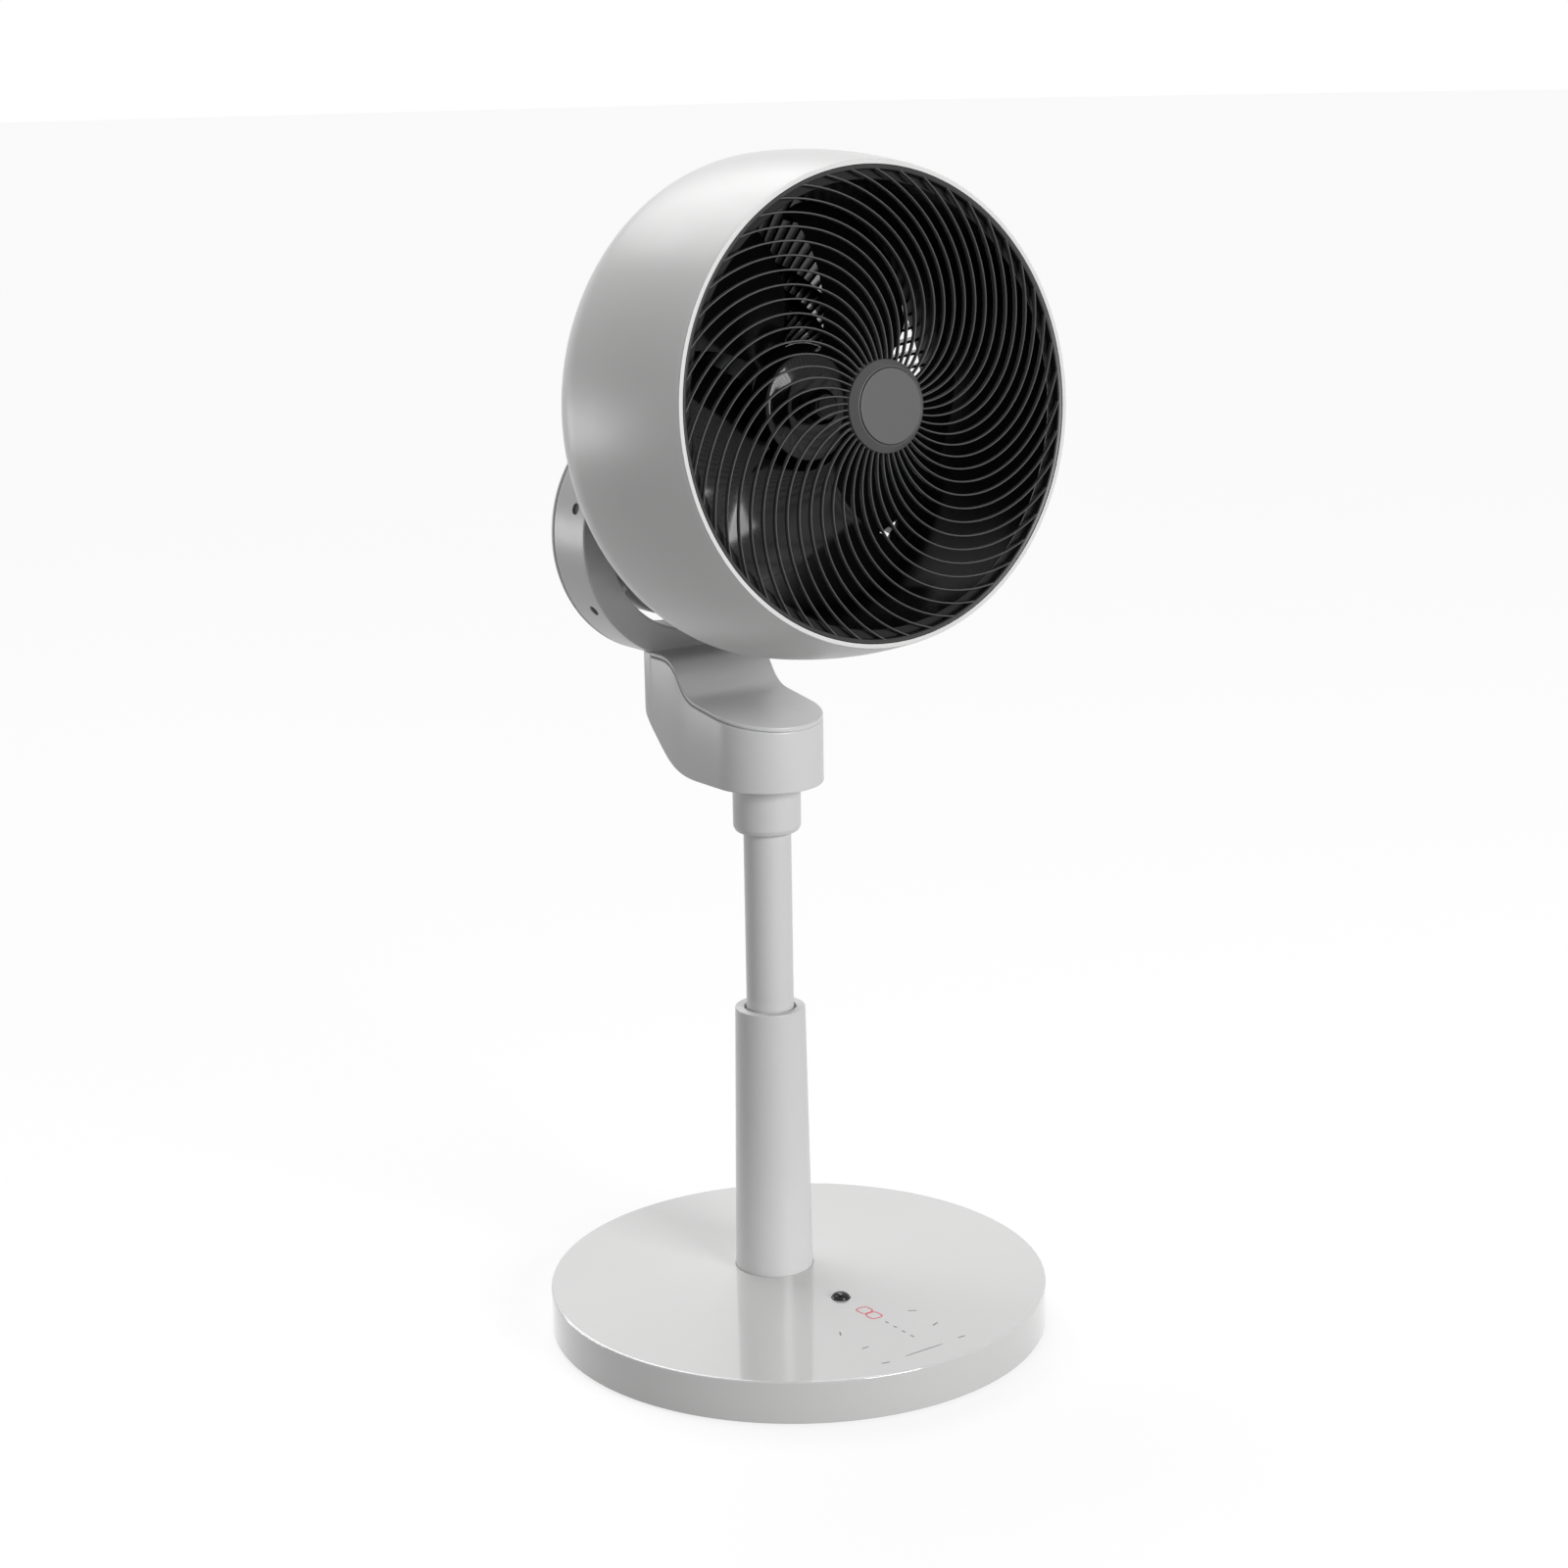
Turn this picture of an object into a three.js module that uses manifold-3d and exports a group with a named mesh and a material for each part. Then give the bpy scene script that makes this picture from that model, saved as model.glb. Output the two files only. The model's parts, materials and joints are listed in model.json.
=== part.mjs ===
// Air circulator fan: a ball-shaped head that tilts on a ring arm, which pans on a telescopic column.
// Millimetres, +Z up, the fan blows towards -Y, and the origin is the middle of the underside.

import * as THREE from 'three';
import { mergeVertices } from 'three/addons/utils/BufferGeometryUtils.js';
import Module from 'manifold-3d';

// ---- fits
const GAP = 0.3; // between seated pieces
const RUN = 0.25; // round a sliding or turning piece
const WALL = 2.6; // moulded walls

// ---- base
const BASE_R = 150;
const COVER_H = 25.5;
const FOOT_PROUD = 1.5;
const COVER_EDGE = 3;
const PLATE_T = 2.5;
const PLATE_WEB = 1.2;
const FOOT_R = 9;
const FOOT_CIRCLE_R = BASE_R - 22;
const FOOT_SUNK = 1;
const FEET = 4;
const WEIGHT_R = BASE_R - 34;
const WEIGHT_T = 8;
const BOSS_R = 4.5;
const BOSS_CIRCLE_R = BASE_R - 16;
const BOSSES = 4;
const SCREW_R = 1.5;
const SCREW_HEAD_R = 3;
const SCREW_HEAD_T = 1.8;
const SCREW_L = 10;

// ---- control panel, measured forwards from the column
const LENS_R = 5.5;
const LENS_PROUD = 3.4;
const LENS_FORWARD = 68;
const DISPLAY_FORWARD = 96;
const DISPLAY_L = 20;
const DISPLAY_W = 9;
const DISPLAY_T = 2;
const BOARD_W = 76;
const BOARD_T = 1.6;
const BOARD_BEHIND_LENS = 7;
const BOARD_FRONT_MARGIN = 16;
const INLET_R = 5.5;
const INLET_BORE_R = 2.8;
const INLET_L = 13;
const INLET_Z = 14;

// ---- column
const COLUMN_Y = 25;
const LOWER_FOOT_R = 23.7;
const LOWER_TOP_R = 21.1;
const LOWER_H = 165.5;
const LOWER_BORE_R = 18.8;
const LOWER_LIP_H = 3;
const SOCKET_WALL = 5;
const SOCKET_FLOOR_T = 3;
const SOCKET_FLANGE_R = 40;
const SOCKET_FLANGE_T = 3;
const SOCKET_BOSS_H = 6;
const SOCKET_SCREW_R = 34;
const SOCKET_SCREWS = 3;
const BOLT_R = 4;
const BOLT_HEAD_R = 7;
const BOLT_HEAD_T = 4;
const UPPER_R = 14.2;
const UPPER_WALL = 1.6;
const UPPER_SHOWN = 108.7;
const UPPER_HELD = 50;
const STOP_SLACK = 1;
const SHOE_H = 12;
const COLLAR_R = 20.2;
const COLLAR_H = 30.1;
const COLLAR_CHAMFER = 4;
const COLLAR_SEAT = 20;

// ---- pan drive
const SPIGOT_R = 12;
const SPIGOT_BORE_R = 8;
const SPIGOT_H = 17.5;
const WASHER_T = 1.2;
const WASHER_R = 18;
const GEAR_MODULE = 1.25;
const GEAR_TEETH = 32;
const PINION_TEETH = 12;
const GEAR_T = 6;
const CLIP_T = 2;
const CLIP_R = 15;
const PAN_MOTOR_R = 13;
const PAN_MOTOR_H = 16;
const PAN_MOTOR_EAR = 20;
const PAN_SHAFT_R = 2.5;
const POST_R = 3.5;

// ---- neck, measured from the column axis and from its own underside
const NECK_R = 34;
const NECK_BACK = 81;
const NECK_H = 71.2;
const NOSE_H = 39;
const NOSE_BACK_H = 48;
const KEEL = 24;
const HULL_Y = 68;
const HULL_Z = 22;
const HULL_TOP_Z = 54;
const STEP_Y = 34;
const SHELF_Y = 60;
const NECK_CORNER = 6;
const LID_T = 2.6;
const LID_BACKSET = 1.6;

// ---- ring arm
const RING_R = 77.8;
const RING_BORE_R = 59.6;
const RING_FRONT = 70;
const RING_DEPTH = 37;
const RING_EDGE = 1.6;
const RING_WALL = 3;
const RING_LIP = 5;
const ARM_FOOT_W = 44;
const ARM_FOOT_H = 16;
const RIM_SCREW_BACK = 12;
const RIM_SCREW_ANGLES = [14, -33.6];
const RIM_SCREW_R = 3.2;
const RIM_SCREW_T = 2.2;
const RIM_TOWER_R = 5;
const RIM_SCREW_SUNK = 1;
const DRUM_R = 54;
const DRUM_SETBACK = 6;
const DRUM_WALL = 2.4;
const DRUM_LUG_R = 4.5;
const DRUM_COVER_T = 6;
const DRIVER_BOARD_W = 60;
const DRIVER_BOARD_H = 46;

// ---- tilt hinge
const TILT_REACH = 13;
const TILT_DROP = 13;
const TILT_REST = 5.2;
const EAR_R = 10;
const EAR_T = 5.6;
const KNUCKLE_R = 10.5;
const KNUCKLE_W = 28;
const KNUCKLE_WEB = 18;
const TILT_SHAFT_R = 3;
const TILT_SHAFT_IN = 8;
const TILT_MOTOR_R = 11;
const TILT_MOTOR_L = 20;
const PIVOT_CAP_R = 8;
const PIVOT_CAP_T = 4;

// ---- head, measured backwards from the grille plane along the fan axis
const HEAD_BACK = 173;
const HEAD_RISE = 9;
const SHELL_MAX_R = 142.2;
const SHELL_FRONT_R = SHELL_MAX_R - 10.9;
const GRILLE_R = SHELL_FRONT_R - 2.8;
const SHELL_MAX_BACK = 88;
const SHELL_END = 118;
const SHELL_REAR = 160;
const LIP_DEPTH = 8;
const LIP_EDGE = 0.8;
const DUCT_R = GRILLE_R - 7.5;
const DUCT_WALL = 2.2;
const DUCT_FLANGE = 4.5;
const DUCT_FLANGE_T = 2.4;
const RIM_W = 4.5;
const RIM_T = 4.4;
const HUB_R = 25.4;
const HUB_DOME = 4.2;
const HUB_T = 4;
const HUB_CONE = 4;
const CAP_R = 20.6;
const CAP_PROUD = 0.5;
const CAP_SUNK = 1.2;
const RIBS = 48;
const RIB_SWEEP = 65;
const RIB_CURL = 1.5;
const RIB_W = 1.5;
const RIB_D = 3;
const RIB_LIFT = 0.6;
const RIB_STEPS = 3;
const REAR_RIBS = 32;
const REAR_RIB_W = 1.8;
const REAR_RIB_D = 3;
const REAR_RIB_STEPS = 2;
const REAR_RIM_L = 4;
const REAR_SPIGOT_L = 7;
const REAR_RING_R = DUCT_R - 36;
const REAR_RING_W = 3;
const REAR_HUB_R = 38;
const REAR_HUB_T = 4;
const BRACKET_R = 30;
const BRACKET_T = 3;
const BRACKET_SCREW_R = 24;
const BRACKET_SCREW_ANGLES = [90, 250, 290];

// ---- fan
const FAN_MOTOR_R = 33;
const FAN_MOTOR_FRONT = 118;
const FAN_BOSS_R = 10;
const FAN_BOSS_L = 6;
const FAN_SHAFT_R = 4;
const FAN_SHAFT_IN = 16;
const FAN_HUB_R = 36;
const FAN_HUB_FRONT = 62;
const FAN_HUB_L = 44;
const FAN_HUB_WALL = 2.4;
const FAN_BORE_BOSS_R = 9;
const BLADES = 5;
const BLADE_START = 36;
const BLADE_TIP_R = DUCT_R - 5;
const BLADE_T = 2.2;
const BLADE_SPAN_HUB = 62;
const BLADE_SPAN_TIP = 64;
const BLADE_DEPTH_HUB = 34;
const BLADE_DEPTH_TIP = 30;
const BLADE_LEAN = 26;
const NUT_R = 10;
const NUT_L = 12;

// ---- levels and places that follow
const BASE_TOP = FOOT_PROUD + COVER_H;
const COVER_UNDER = BASE_TOP - WALL;
const PLATE_TOP = FOOT_PROUD + PLATE_T;
const LOWER_TOP = BASE_TOP + LOWER_H;
const COLLAR_Z = LOWER_TOP + UPPER_SHOWN;
const COLLAR_TOP = COLLAR_Z + COLLAR_H;
const NECK_Z = COLLAR_TOP + GAP;
const GEAR_R = (GEAR_MODULE * GEAR_TEETH) / 2;
const PINION_R = (GEAR_MODULE * PINION_TEETH) / 2;
const PINION_Y = GEAR_R + PINION_R;
const GEAR_Z = NECK_Z + WALL + GAP + WASHER_T + GAP;
const RING_Z = NECK_Z + NECK_H + Math.sqrt(RING_R ** 2 - NECK_R ** 2);
const RING_REAR = RING_FRONT + RING_DEPTH;
const TILT_Y = COLUMN_Y + RING_FRONT - TILT_REACH;
const TILT_Z = RING_Z + RING_R - TILT_DROP;
const REAR_HUB_SHARE = Math.sqrt(1 - (REAR_HUB_R / SHELL_MAX_R) ** 2);
const REAR_FACE = SHELL_MAX_BACK + (SHELL_REAR - SHELL_MAX_BACK) * REAR_HUB_SHARE;

// ---- finishes
const finish = (color, roughness, metalness = 0) =>
  new THREE.MeshStandardMaterial({ color, roughness, metalness });
const whiteShell = finish(0xe6e6e4, 0.35);
const paleColumn = finish(0xd6d7d6, 0.35);
const ductBlack = finish(0x121213, 0.4);
const glossBlack = finish(0x0a0a0b, 0.12);
const ribGrey = finish(0x6b6b6b, 0.35);
const capGrey = finish(0x6a6a6b, 0.5);
const steel = finish(0x9a9c9e, 0.35, 0.9);
const screwDark = finish(0x2b2b2d, 0.4, 0.8);
const rubber = finish(0x222222, 0.9);
const boardGreen = finish(0x1d5a3a, 0.6);
const gearWhite = finish(0xeeeade, 0.5);

// ---- solids
const wasm = await Module();
wasm.setup();

// Triangles of a closed geometry as a solid, turned to face outwards whichever way it was drawn.
function asSolid(geometry) {
  const bare = geometry.index ? geometry.toNonIndexed() : geometry.clone();
  bare.deleteAttribute('normal');
  bare.deleteAttribute('uv');
  const merged = mergeVertices(bare, 1e-4);
  const at = merged.getAttribute('position');
  const corner = (i) => new THREE.Vector3().fromBufferAttribute(at, i);
  const faces = [];
  let volume = 0;
  for (let i = 0; i < merged.index.count; i += 3) {
    const [a, b, c] = [0, 1, 2].map((k) => merged.index.getX(i + k));
    if (a === b || b === c || c === a) continue;
    faces.push([a, b, c]);
    volume += corner(a).dot(corner(b).cross(corner(c)));
  }
  const triVerts = new Uint32Array(faces.flatMap(([a, b, c]) => (volume < 0 ? [a, c, b] : [a, b, c])));
  return new wasm.Manifold(new wasm.Mesh({ numProp: 3, vertProperties: at.array, triVerts }));
}

function asGeometry(solid) {
  const { vertProperties, triVerts } = solid.getMesh();
  const geometry = new THREE.BufferGeometry();
  geometry.setAttribute('position', new THREE.BufferAttribute(new Float32Array(vertProperties), 3));
  geometry.setIndex(Array.from(triVerts));
  geometry.computeVertexNormals();
  return geometry;
}

const join = (...parts) => asGeometry(parts.map(asSolid).reduce((whole, next) => whole.add(next)));
const cut = (body, ...tools) =>
  asGeometry(tools.map(asSolid).reduce((whole, next) => whole.subtract(next), asSolid(body)));
const meet = (body, other) => asGeometry(asSolid(body).intersect(asSolid(other)));

// ---- shapes
const radians = THREE.MathUtils.degToRad;

// Enough sides for a round piece that its flats lie within 0.25 mm of the circle.
const sidesFor = (profile) => 4 * Math.round(0.8 + 1.1 * Math.sqrt(Math.max(...profile.map(([r]) => r))));

// A profile of [radius, height] points turned about Y; it closes on the axis or on itself.
function turnedY(profile, sides = sidesFor(profile)) {
  const onAxis = profile[0][0] === 0 && profile.at(-1)[0] === 0;
  const loop = onAxis ? profile : [...profile, profile[0]];
  return new THREE.LatheGeometry(loop.map(([r, y]) => new THREE.Vector2(r, y)), sides);
}

const turned = (profile, sides) => turnedY(profile, sides).rotateX(Math.PI / 2);
const turnedX = (profile) => turnedY(profile).rotateZ(-Math.PI / 2);
const discProfile = (r, low, high) => [[0, low], [r, low], [r, high], [0, high]];
const pipeProfile = (outer, inner, low, high) => [[inner, low], [outer, low], [outer, high], [inner, high]];
const disc = (r, low, high, sides) => turned(discProfile(r, low, high), sides);
const pipe = (outer, inner, low, high) => turned(pipeProfile(outer, inner, low, high));

function block([x0, x1], [y0, y1], [z0, z1]) {
  const box = new THREE.BoxGeometry(x1 - x0, y1 - y0, z1 - z0);
  return box.translate((x0 + x1) / 2, (y0 + y1) / 2, (z0 + z1) / 2);
}

const outline = (points) => new THREE.Shape(points.map(([x, y]) => new THREE.Vector2(x, y)));

// An outline of [x, y] points raised from z0 to z1.
function raised(points, z0, z1) {
  const body = new THREE.ExtrudeGeometry(outline(points), { depth: z1 - z0, bevelEnabled: false });
  return body.translate(0, 0, z0);
}

// An outline of [y, z] points carried from x0 to x1.
function carried(points, x0, x1) {
  const body = new THREE.ExtrudeGeometry(outline(points), { depth: x1 - x0, bevelEnabled: false });
  const [alongY, alongZ, alongX] = [[0, 1, 0], [0, 0, 1], [1, 0, 0]].map((v) => new THREE.Vector3(...v));
  return body.applyMatrix4(new THREE.Matrix4().makeBasis(alongY, alongZ, alongX)).translate(x0, 0, 0);
}

// A closed body skinned over rings of corners, its two ends capped.
function lofted(rings) {
  const sides = rings[0].length;
  const index = [];
  for (let i = 0; i + 1 < rings.length; i++) {
    for (let j = 0; j < sides; j++) {
      const [a, b] = [i * sides + j, i * sides + ((j + 1) % sides)];
      index.push(a, b, b + sides, a, b + sides, a + sides);
    }
  }
  const last = (rings.length - 1) * sides;
  for (let j = 1; j + 1 < sides; j++) {
    index.push(0, j + 1, j, last, last + j, last + j + 1);
  }
  const geometry = new THREE.BufferGeometry();
  geometry.setAttribute('position', new THREE.Float32BufferAttribute(rings.flat(2), 3));
  geometry.setIndex(index);
  return geometry;
}

// A bar along a path of [x, y, z] points, `width` wide across it and `depth` deep along Y.
function bar(path, width, depth) {
  const rings = path.map(([x, y, z], i) => {
    const [ax, , az] = path[Math.max(i - 1, 0)];
    const [bx, , bz] = path[Math.min(i + 1, path.length - 1)];
    const half = width / 2 / Math.hypot(bx - ax, bz - az);
    const [sx, sz] = [(az - bz) * half, (bx - ax) * half];
    return [
      [x - sx, y, z - sz],
      [x + sx, y, z + sz],
      [x + sx, y + depth, z + sz],
      [x - sx, y + depth, z - sz],
    ];
  });
  return lofted(rings);
}

// `count` copies of make(i, angle), spread evenly round a circle from `start` degrees.
const around = (count, start, make) =>
  Array.from({ length: count }, (_, i) => make(i, radians(start + (360 * i) / count)));

// A spur gear's outline: straight-sided teeth, the first one centred on +X turned by `phase` teeth.
function gearOutline(teeth, phase) {
  const pitch = (GEAR_MODULE * teeth) / 2;
  const [root, tip] = [pitch - 1.15 * GEAR_MODULE, pitch + 0.85 * GEAR_MODULE];
  const step = (2 * Math.PI) / teeth;
  const corners = [[root, -0.3], [tip, -0.12], [tip, 0.12], [root, 0.3]];
  return Array.from({ length: teeth }, (_, i) =>
    corners.map(([r, share]) => {
      const angle = (i + phase + share) * step;
      return [r * Math.cos(angle), r * Math.sin(angle)];
    }),
  ).flat();
}

// A screw pointing up +Z, its head's outer face at z = 0.
const screw = (length) => join(disc(SCREW_HEAD_R, 0, SCREW_HEAD_T), disc(SCREW_R, SCREW_HEAD_T / 2, length));

// A meshed piece at a place of its own.
function piece(name, geometry, material, position = [0, 0, 0]) {
  const mesh = new THREE.Mesh(geometry, material);
  mesh.name = name;
  mesh.position.set(...position);
  return mesh;
}

const group = (position, ...children) => {
  const made = new THREE.Group();
  made.position.set(...position);
  made.add(...children.flat());
  return made;
};

// ---- base
const bossPlaces = around(BOSSES, 45, (i, angle) => [
  BOSS_CIRCLE_R * Math.cos(angle),
  BOSS_CIRCLE_R * Math.sin(angle),
]);
const footPlaces = around(FEET, 90, (i, angle) => [
  FOOT_CIRCLE_R * Math.cos(angle),
  FOOT_CIRCLE_R * Math.sin(angle),
]);
const socketScrewPlaces = around(SOCKET_SCREWS, 90, (i, angle) => [
  SOCKET_SCREW_R * Math.cos(angle),
  COLUMN_Y + SOCKET_SCREW_R * Math.sin(angle),
]);
const at = (geometry, [x, y], z = 0) => geometry.translate(x, y, z);

function baseCover() {
  const edge = [0, 30, 60, 90].map((turn) => [
    BASE_R - COVER_EDGE * (1 - Math.sin(radians(turn))),
    BASE_TOP - COVER_EDGE * (1 - Math.cos(radians(turn))),
  ]);
  const skin = turned(
    [
      [0, BASE_TOP],
      ...edge,
      [BASE_R, FOOT_PROUD],
      [BASE_R - WALL, FOOT_PROUD],
      [BASE_R - WALL, COVER_UNDER],
      [0, COVER_UNDER],
    ],
  );
  const bosses = bossPlaces.map((place) => at(disc(BOSS_R, PLATE_TOP + GAP, COVER_UNDER + 0.5), place));
  const pilots = bossPlaces.map((place) => at(disc(SCREW_R + RUN, 0, PLATE_TOP + SCREW_L), place));
  const socketBosses = socketScrewPlaces.map((place) =>
    at(disc(BOSS_R, COVER_UNDER - SOCKET_BOSS_H, COVER_UNDER + 0.5), place),
  );
  const socketPilots = socketScrewPlaces.map((place) => at(disc(SCREW_R + RUN, 0, COVER_UNDER), place));
  const columnHole = at(disc(LOWER_FOOT_R + GAP, COVER_UNDER - 1, BASE_TOP + 1), [0, COLUMN_Y]);
  const lensHole = at(disc(LENS_R + GAP, COVER_UNDER - 1, BASE_TOP + 1), [0, COLUMN_Y - LENS_FORWARD]);
  const inletBore = discProfile(INLET_R + GAP, BASE_R - 2 * WALL, BASE_R + 1);
  const inletHole = turnedY(inletBore).translate(0, 0, INLET_Z);
  const solid = join(skin, ...bosses, ...socketBosses);
  return cut(solid, ...pilots, ...socketPilots, columnHole, lensHole, inletHole);
}

function basePlate() {
  const holes = bossPlaces.map((place) => at(disc(SCREW_R + RUN, 0, PLATE_TOP + 1), place));
  const counterbores = bossPlaces.map((place) =>
    at(disc(SCREW_HEAD_R + GAP, 0, PLATE_TOP - PLATE_WEB), place),
  );
  const recesses = footPlaces.map((place) => at(disc(FOOT_R + GAP, 0, FOOT_PROUD + FOOT_SUNK), place));
  return cut(disc(BASE_R - WALL - GAP, FOOT_PROUD, PLATE_TOP), ...holes, ...counterbores, ...recesses);
}

function baseWeight() {
  const body = disc(WEIGHT_R, PLATE_TOP + GAP, PLATE_TOP + GAP + WEIGHT_T);
  return cut(body, at(disc(LOWER_FOOT_R + SOCKET_WALL + 2, 0, BASE_TOP), [0, COLUMN_Y]));
}

// A cup under the cover that holds the foot of the lower tube, with a flange screwed to the cover.
const SOCKET_LOW = PLATE_TOP + GAP + BOLT_HEAD_T + GAP;
const TUBE_FOOT = SOCKET_LOW + SOCKET_FLOOR_T + GAP;
const SOCKET_FLANGE_TOP = COVER_UNDER - SOCKET_BOSS_H - GAP;
function columnSocket() {
  const [bore, top] = [LOWER_FOOT_R + GAP, COVER_UNDER - GAP];
  const skin = bore + SOCKET_WALL - 2 * GAP;
  const cup = turned(
    [
      [BOLT_R + GAP, SOCKET_LOW],
      [skin, SOCKET_LOW],
      [skin, SOCKET_FLANGE_TOP - SOCKET_FLANGE_T],
      [SOCKET_FLANGE_R, SOCKET_FLANGE_TOP - SOCKET_FLANGE_T],
      [SOCKET_FLANGE_R, SOCKET_FLANGE_TOP],
      [skin, SOCKET_FLANGE_TOP],
      [skin, top],
      [bore, top],
      [bore, SOCKET_LOW + SOCKET_FLOOR_T],
      [BOLT_R + GAP, SOCKET_LOW + SOCKET_FLOOR_T],
    ],
  );
  const holes = socketScrewPlaces.map(([x, y]) =>
    disc(SCREW_R + RUN, 0, BASE_TOP).translate(x, y - COLUMN_Y, 0),
  );
  return cut(cup, ...holes);
}

const BOARD_TOP = COVER_UNDER - GAP - DISPLAY_T - GAP;
function controlBoard() {
  const along = [BOARD_FRONT_MARGIN - BASE_R, COLUMN_Y - LENS_FORWARD + BOARD_BEHIND_LENS];
  return block([-BOARD_W / 2, BOARD_W / 2], along, [BOARD_TOP - BOARD_T, BOARD_TOP]);
}

function displayModule() {
  const middle = COLUMN_Y - DISPLAY_FORWARD;
  const along = [middle - DISPLAY_L / 2, middle + DISPLAY_L / 2];
  return block([-DISPLAY_W / 2, DISPLAY_W / 2], along, [BOARD_TOP + GAP, BOARD_TOP + GAP + DISPLAY_T]);
}

// The receiver's window: a barrel through the cover with a dome on top.
function receiverLens() {
  const foot = BOARD_TOP + GAP;
  const dome = [90, 67.5, 45, 22.5, 0].map((turn) => [
    LENS_R * Math.sin(radians(turn)),
    BASE_TOP + LENS_PROUD * Math.cos(radians(turn)),
  ]);
  return turned([[0, foot], [LENS_R, foot], ...dome]);
}

const powerInlet = () =>
  turnedY(
    [
      [0, BASE_R - INLET_L],
      [INLET_R, BASE_R - INLET_L],
      [INLET_R, BASE_R - 0.5],
      [INLET_BORE_R, BASE_R - 0.5],
      [INLET_BORE_R, BASE_R - INLET_L + 3],
      [0, BASE_R - INLET_L + 3],
    ],
  );

// ---- column
function lowerTube() {
  const lip = UPPER_R + 2 * RUN + 1;
  const floor = TUBE_FOOT + WALL;
  return turned(
    [
      [BOLT_R - RUN, TUBE_FOOT],
      [LOWER_FOOT_R, TUBE_FOOT],
      [LOWER_FOOT_R, BASE_TOP],
      [LOWER_TOP_R, LOWER_TOP - 0.6],
      [LOWER_TOP_R - 0.6, LOWER_TOP],
      [lip + 0.4, LOWER_TOP],
      [lip, LOWER_TOP - 0.4],
      [lip, LOWER_TOP - LOWER_LIP_H],
      [LOWER_BORE_R, LOWER_TOP - LOWER_LIP_H],
      [LOWER_BORE_R, floor],
      [BOLT_R - RUN, floor],
    ],
  );
}

const BUSH_TOP = LOWER_TOP - LOWER_LIP_H - GAP;
const BUSH_LOW = LOWER_TOP - UPPER_HELD + STOP_SLACK;
const tubeBush = () => pipe(LOWER_BORE_R - GAP, UPPER_R + RUN, BUSH_LOW, BUSH_TOP);
const columnBolt = () =>
  join(
    disc(BOLT_HEAD_R, PLATE_TOP + GAP, SOCKET_LOW - GAP, 6),
    disc(BOLT_R - 2 * RUN, SOCKET_LOW - 1, TUBE_FOOT + WALL + 3),
  );
const upperTube = () => pipe(UPPER_R, UPPER_R - UPPER_WALL, LOWER_TOP - UPPER_HELD, COLLAR_Z + COLLAR_SEAT);

// The shoe that guides the foot of the upper tube and stops it under the bush.
function slideShoe() {
  const foot = LOWER_TOP - UPPER_HELD - GAP;
  const plug = UPPER_R - UPPER_WALL - GAP;
  const bore = plug - 3;
  return turned(
    [
      [bore, foot - 3],
      [LOWER_BORE_R - RUN, foot - 3],
      [LOWER_BORE_R - RUN, foot],
      [plug, foot],
      [plug, foot + SHOE_H],
      [bore, foot + SHOE_H],
    ],
  );
}

// The collar: a seat for the upper tube below, and a hollow spigot above that the neck turns on.
function neckCollar() {
  const seat = COLLAR_Z + COLLAR_SEAT + GAP;
  return turned(
    [
      [UPPER_R + GAP, COLLAR_Z],
      [COLLAR_R - COLLAR_CHAMFER, COLLAR_Z],
      [COLLAR_R - COLLAR_CHAMFER / 3, COLLAR_Z + COLLAR_CHAMFER / 3],
      [COLLAR_R, COLLAR_Z + COLLAR_CHAMFER],
      [COLLAR_R, COLLAR_TOP],
      [SPIGOT_R, COLLAR_TOP],
      [SPIGOT_R, COLLAR_TOP + SPIGOT_H],
      [SPIGOT_BORE_R, COLLAR_TOP + SPIGOT_H],
      [SPIGOT_BORE_R, seat],
      [UPPER_R + GAP, seat],
    ],
  );
}

// ---- pan drive
const panWasher = () => pipe(WASHER_R, SPIGOT_R + GAP, NECK_Z + WALL + GAP, GEAR_Z - GAP);
const panGear = () =>
  cut(
    raised(gearOutline(GEAR_TEETH, 0.25 * GEAR_TEETH), GEAR_Z, GEAR_Z + GEAR_T),
    disc(SPIGOT_R + RUN, GEAR_Z - 1, GEAR_Z + GEAR_T + 1),
  );
const spindleClip = () => pipe(CLIP_R, SPIGOT_R + RUN, GEAR_Z + GEAR_T + GAP, GEAR_Z + GEAR_T + GAP + CLIP_T);

const PAN_MOTOR_Z = COLLAR_TOP + SPIGOT_H + 1;
const panPinion = () =>
  cut(
    join(
      raised(gearOutline(PINION_TEETH, 0.5 - 0.25 * PINION_TEETH), GEAR_Z, GEAR_Z + GEAR_T),
      disc(PAN_SHAFT_R + 2, GEAR_Z + GEAR_T - 1, PAN_MOTOR_Z - 1),
    ),
    disc(PAN_SHAFT_R + GAP / 3, GEAR_Z - 1, PAN_MOTOR_Z),
  );
const panShaft = () => disc(PAN_SHAFT_R, GEAR_Z, PAN_MOTOR_Z + 4);

function panMotor() {
  const low = PAN_MOTOR_Z;
  const can = disc(PAN_MOTOR_R, low, low + PAN_MOTOR_H);
  const reach = PAN_MOTOR_EAR + POST_R;
  const flange = block([-reach, reach], [-POST_R, POST_R], [low, low + 1.5]);
  return cut(join(can, flange), disc(PAN_SHAFT_R + RUN, low - 1, low + 5));
}

// ---- neck: a hull closed by a lid that slopes from the shelf down to the nose
function planOutline(inset) {
  const nose = Array.from({ length: 21 }, (_, i) => {
    const angle = Math.PI * (1 + i / 20);
    return [(NECK_R - inset) * Math.cos(angle), (NECK_R - inset) * Math.sin(angle)];
  });
  const [side, back, corner] = [NECK_R - inset, NECK_BACK - inset, NECK_CORNER];
  const stern = [
    [side, back - corner],
    [side - corner, back],
    [corner - side, back],
    [-side, back - corner],
  ];
  return [...nose, ...stern];
}

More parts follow.
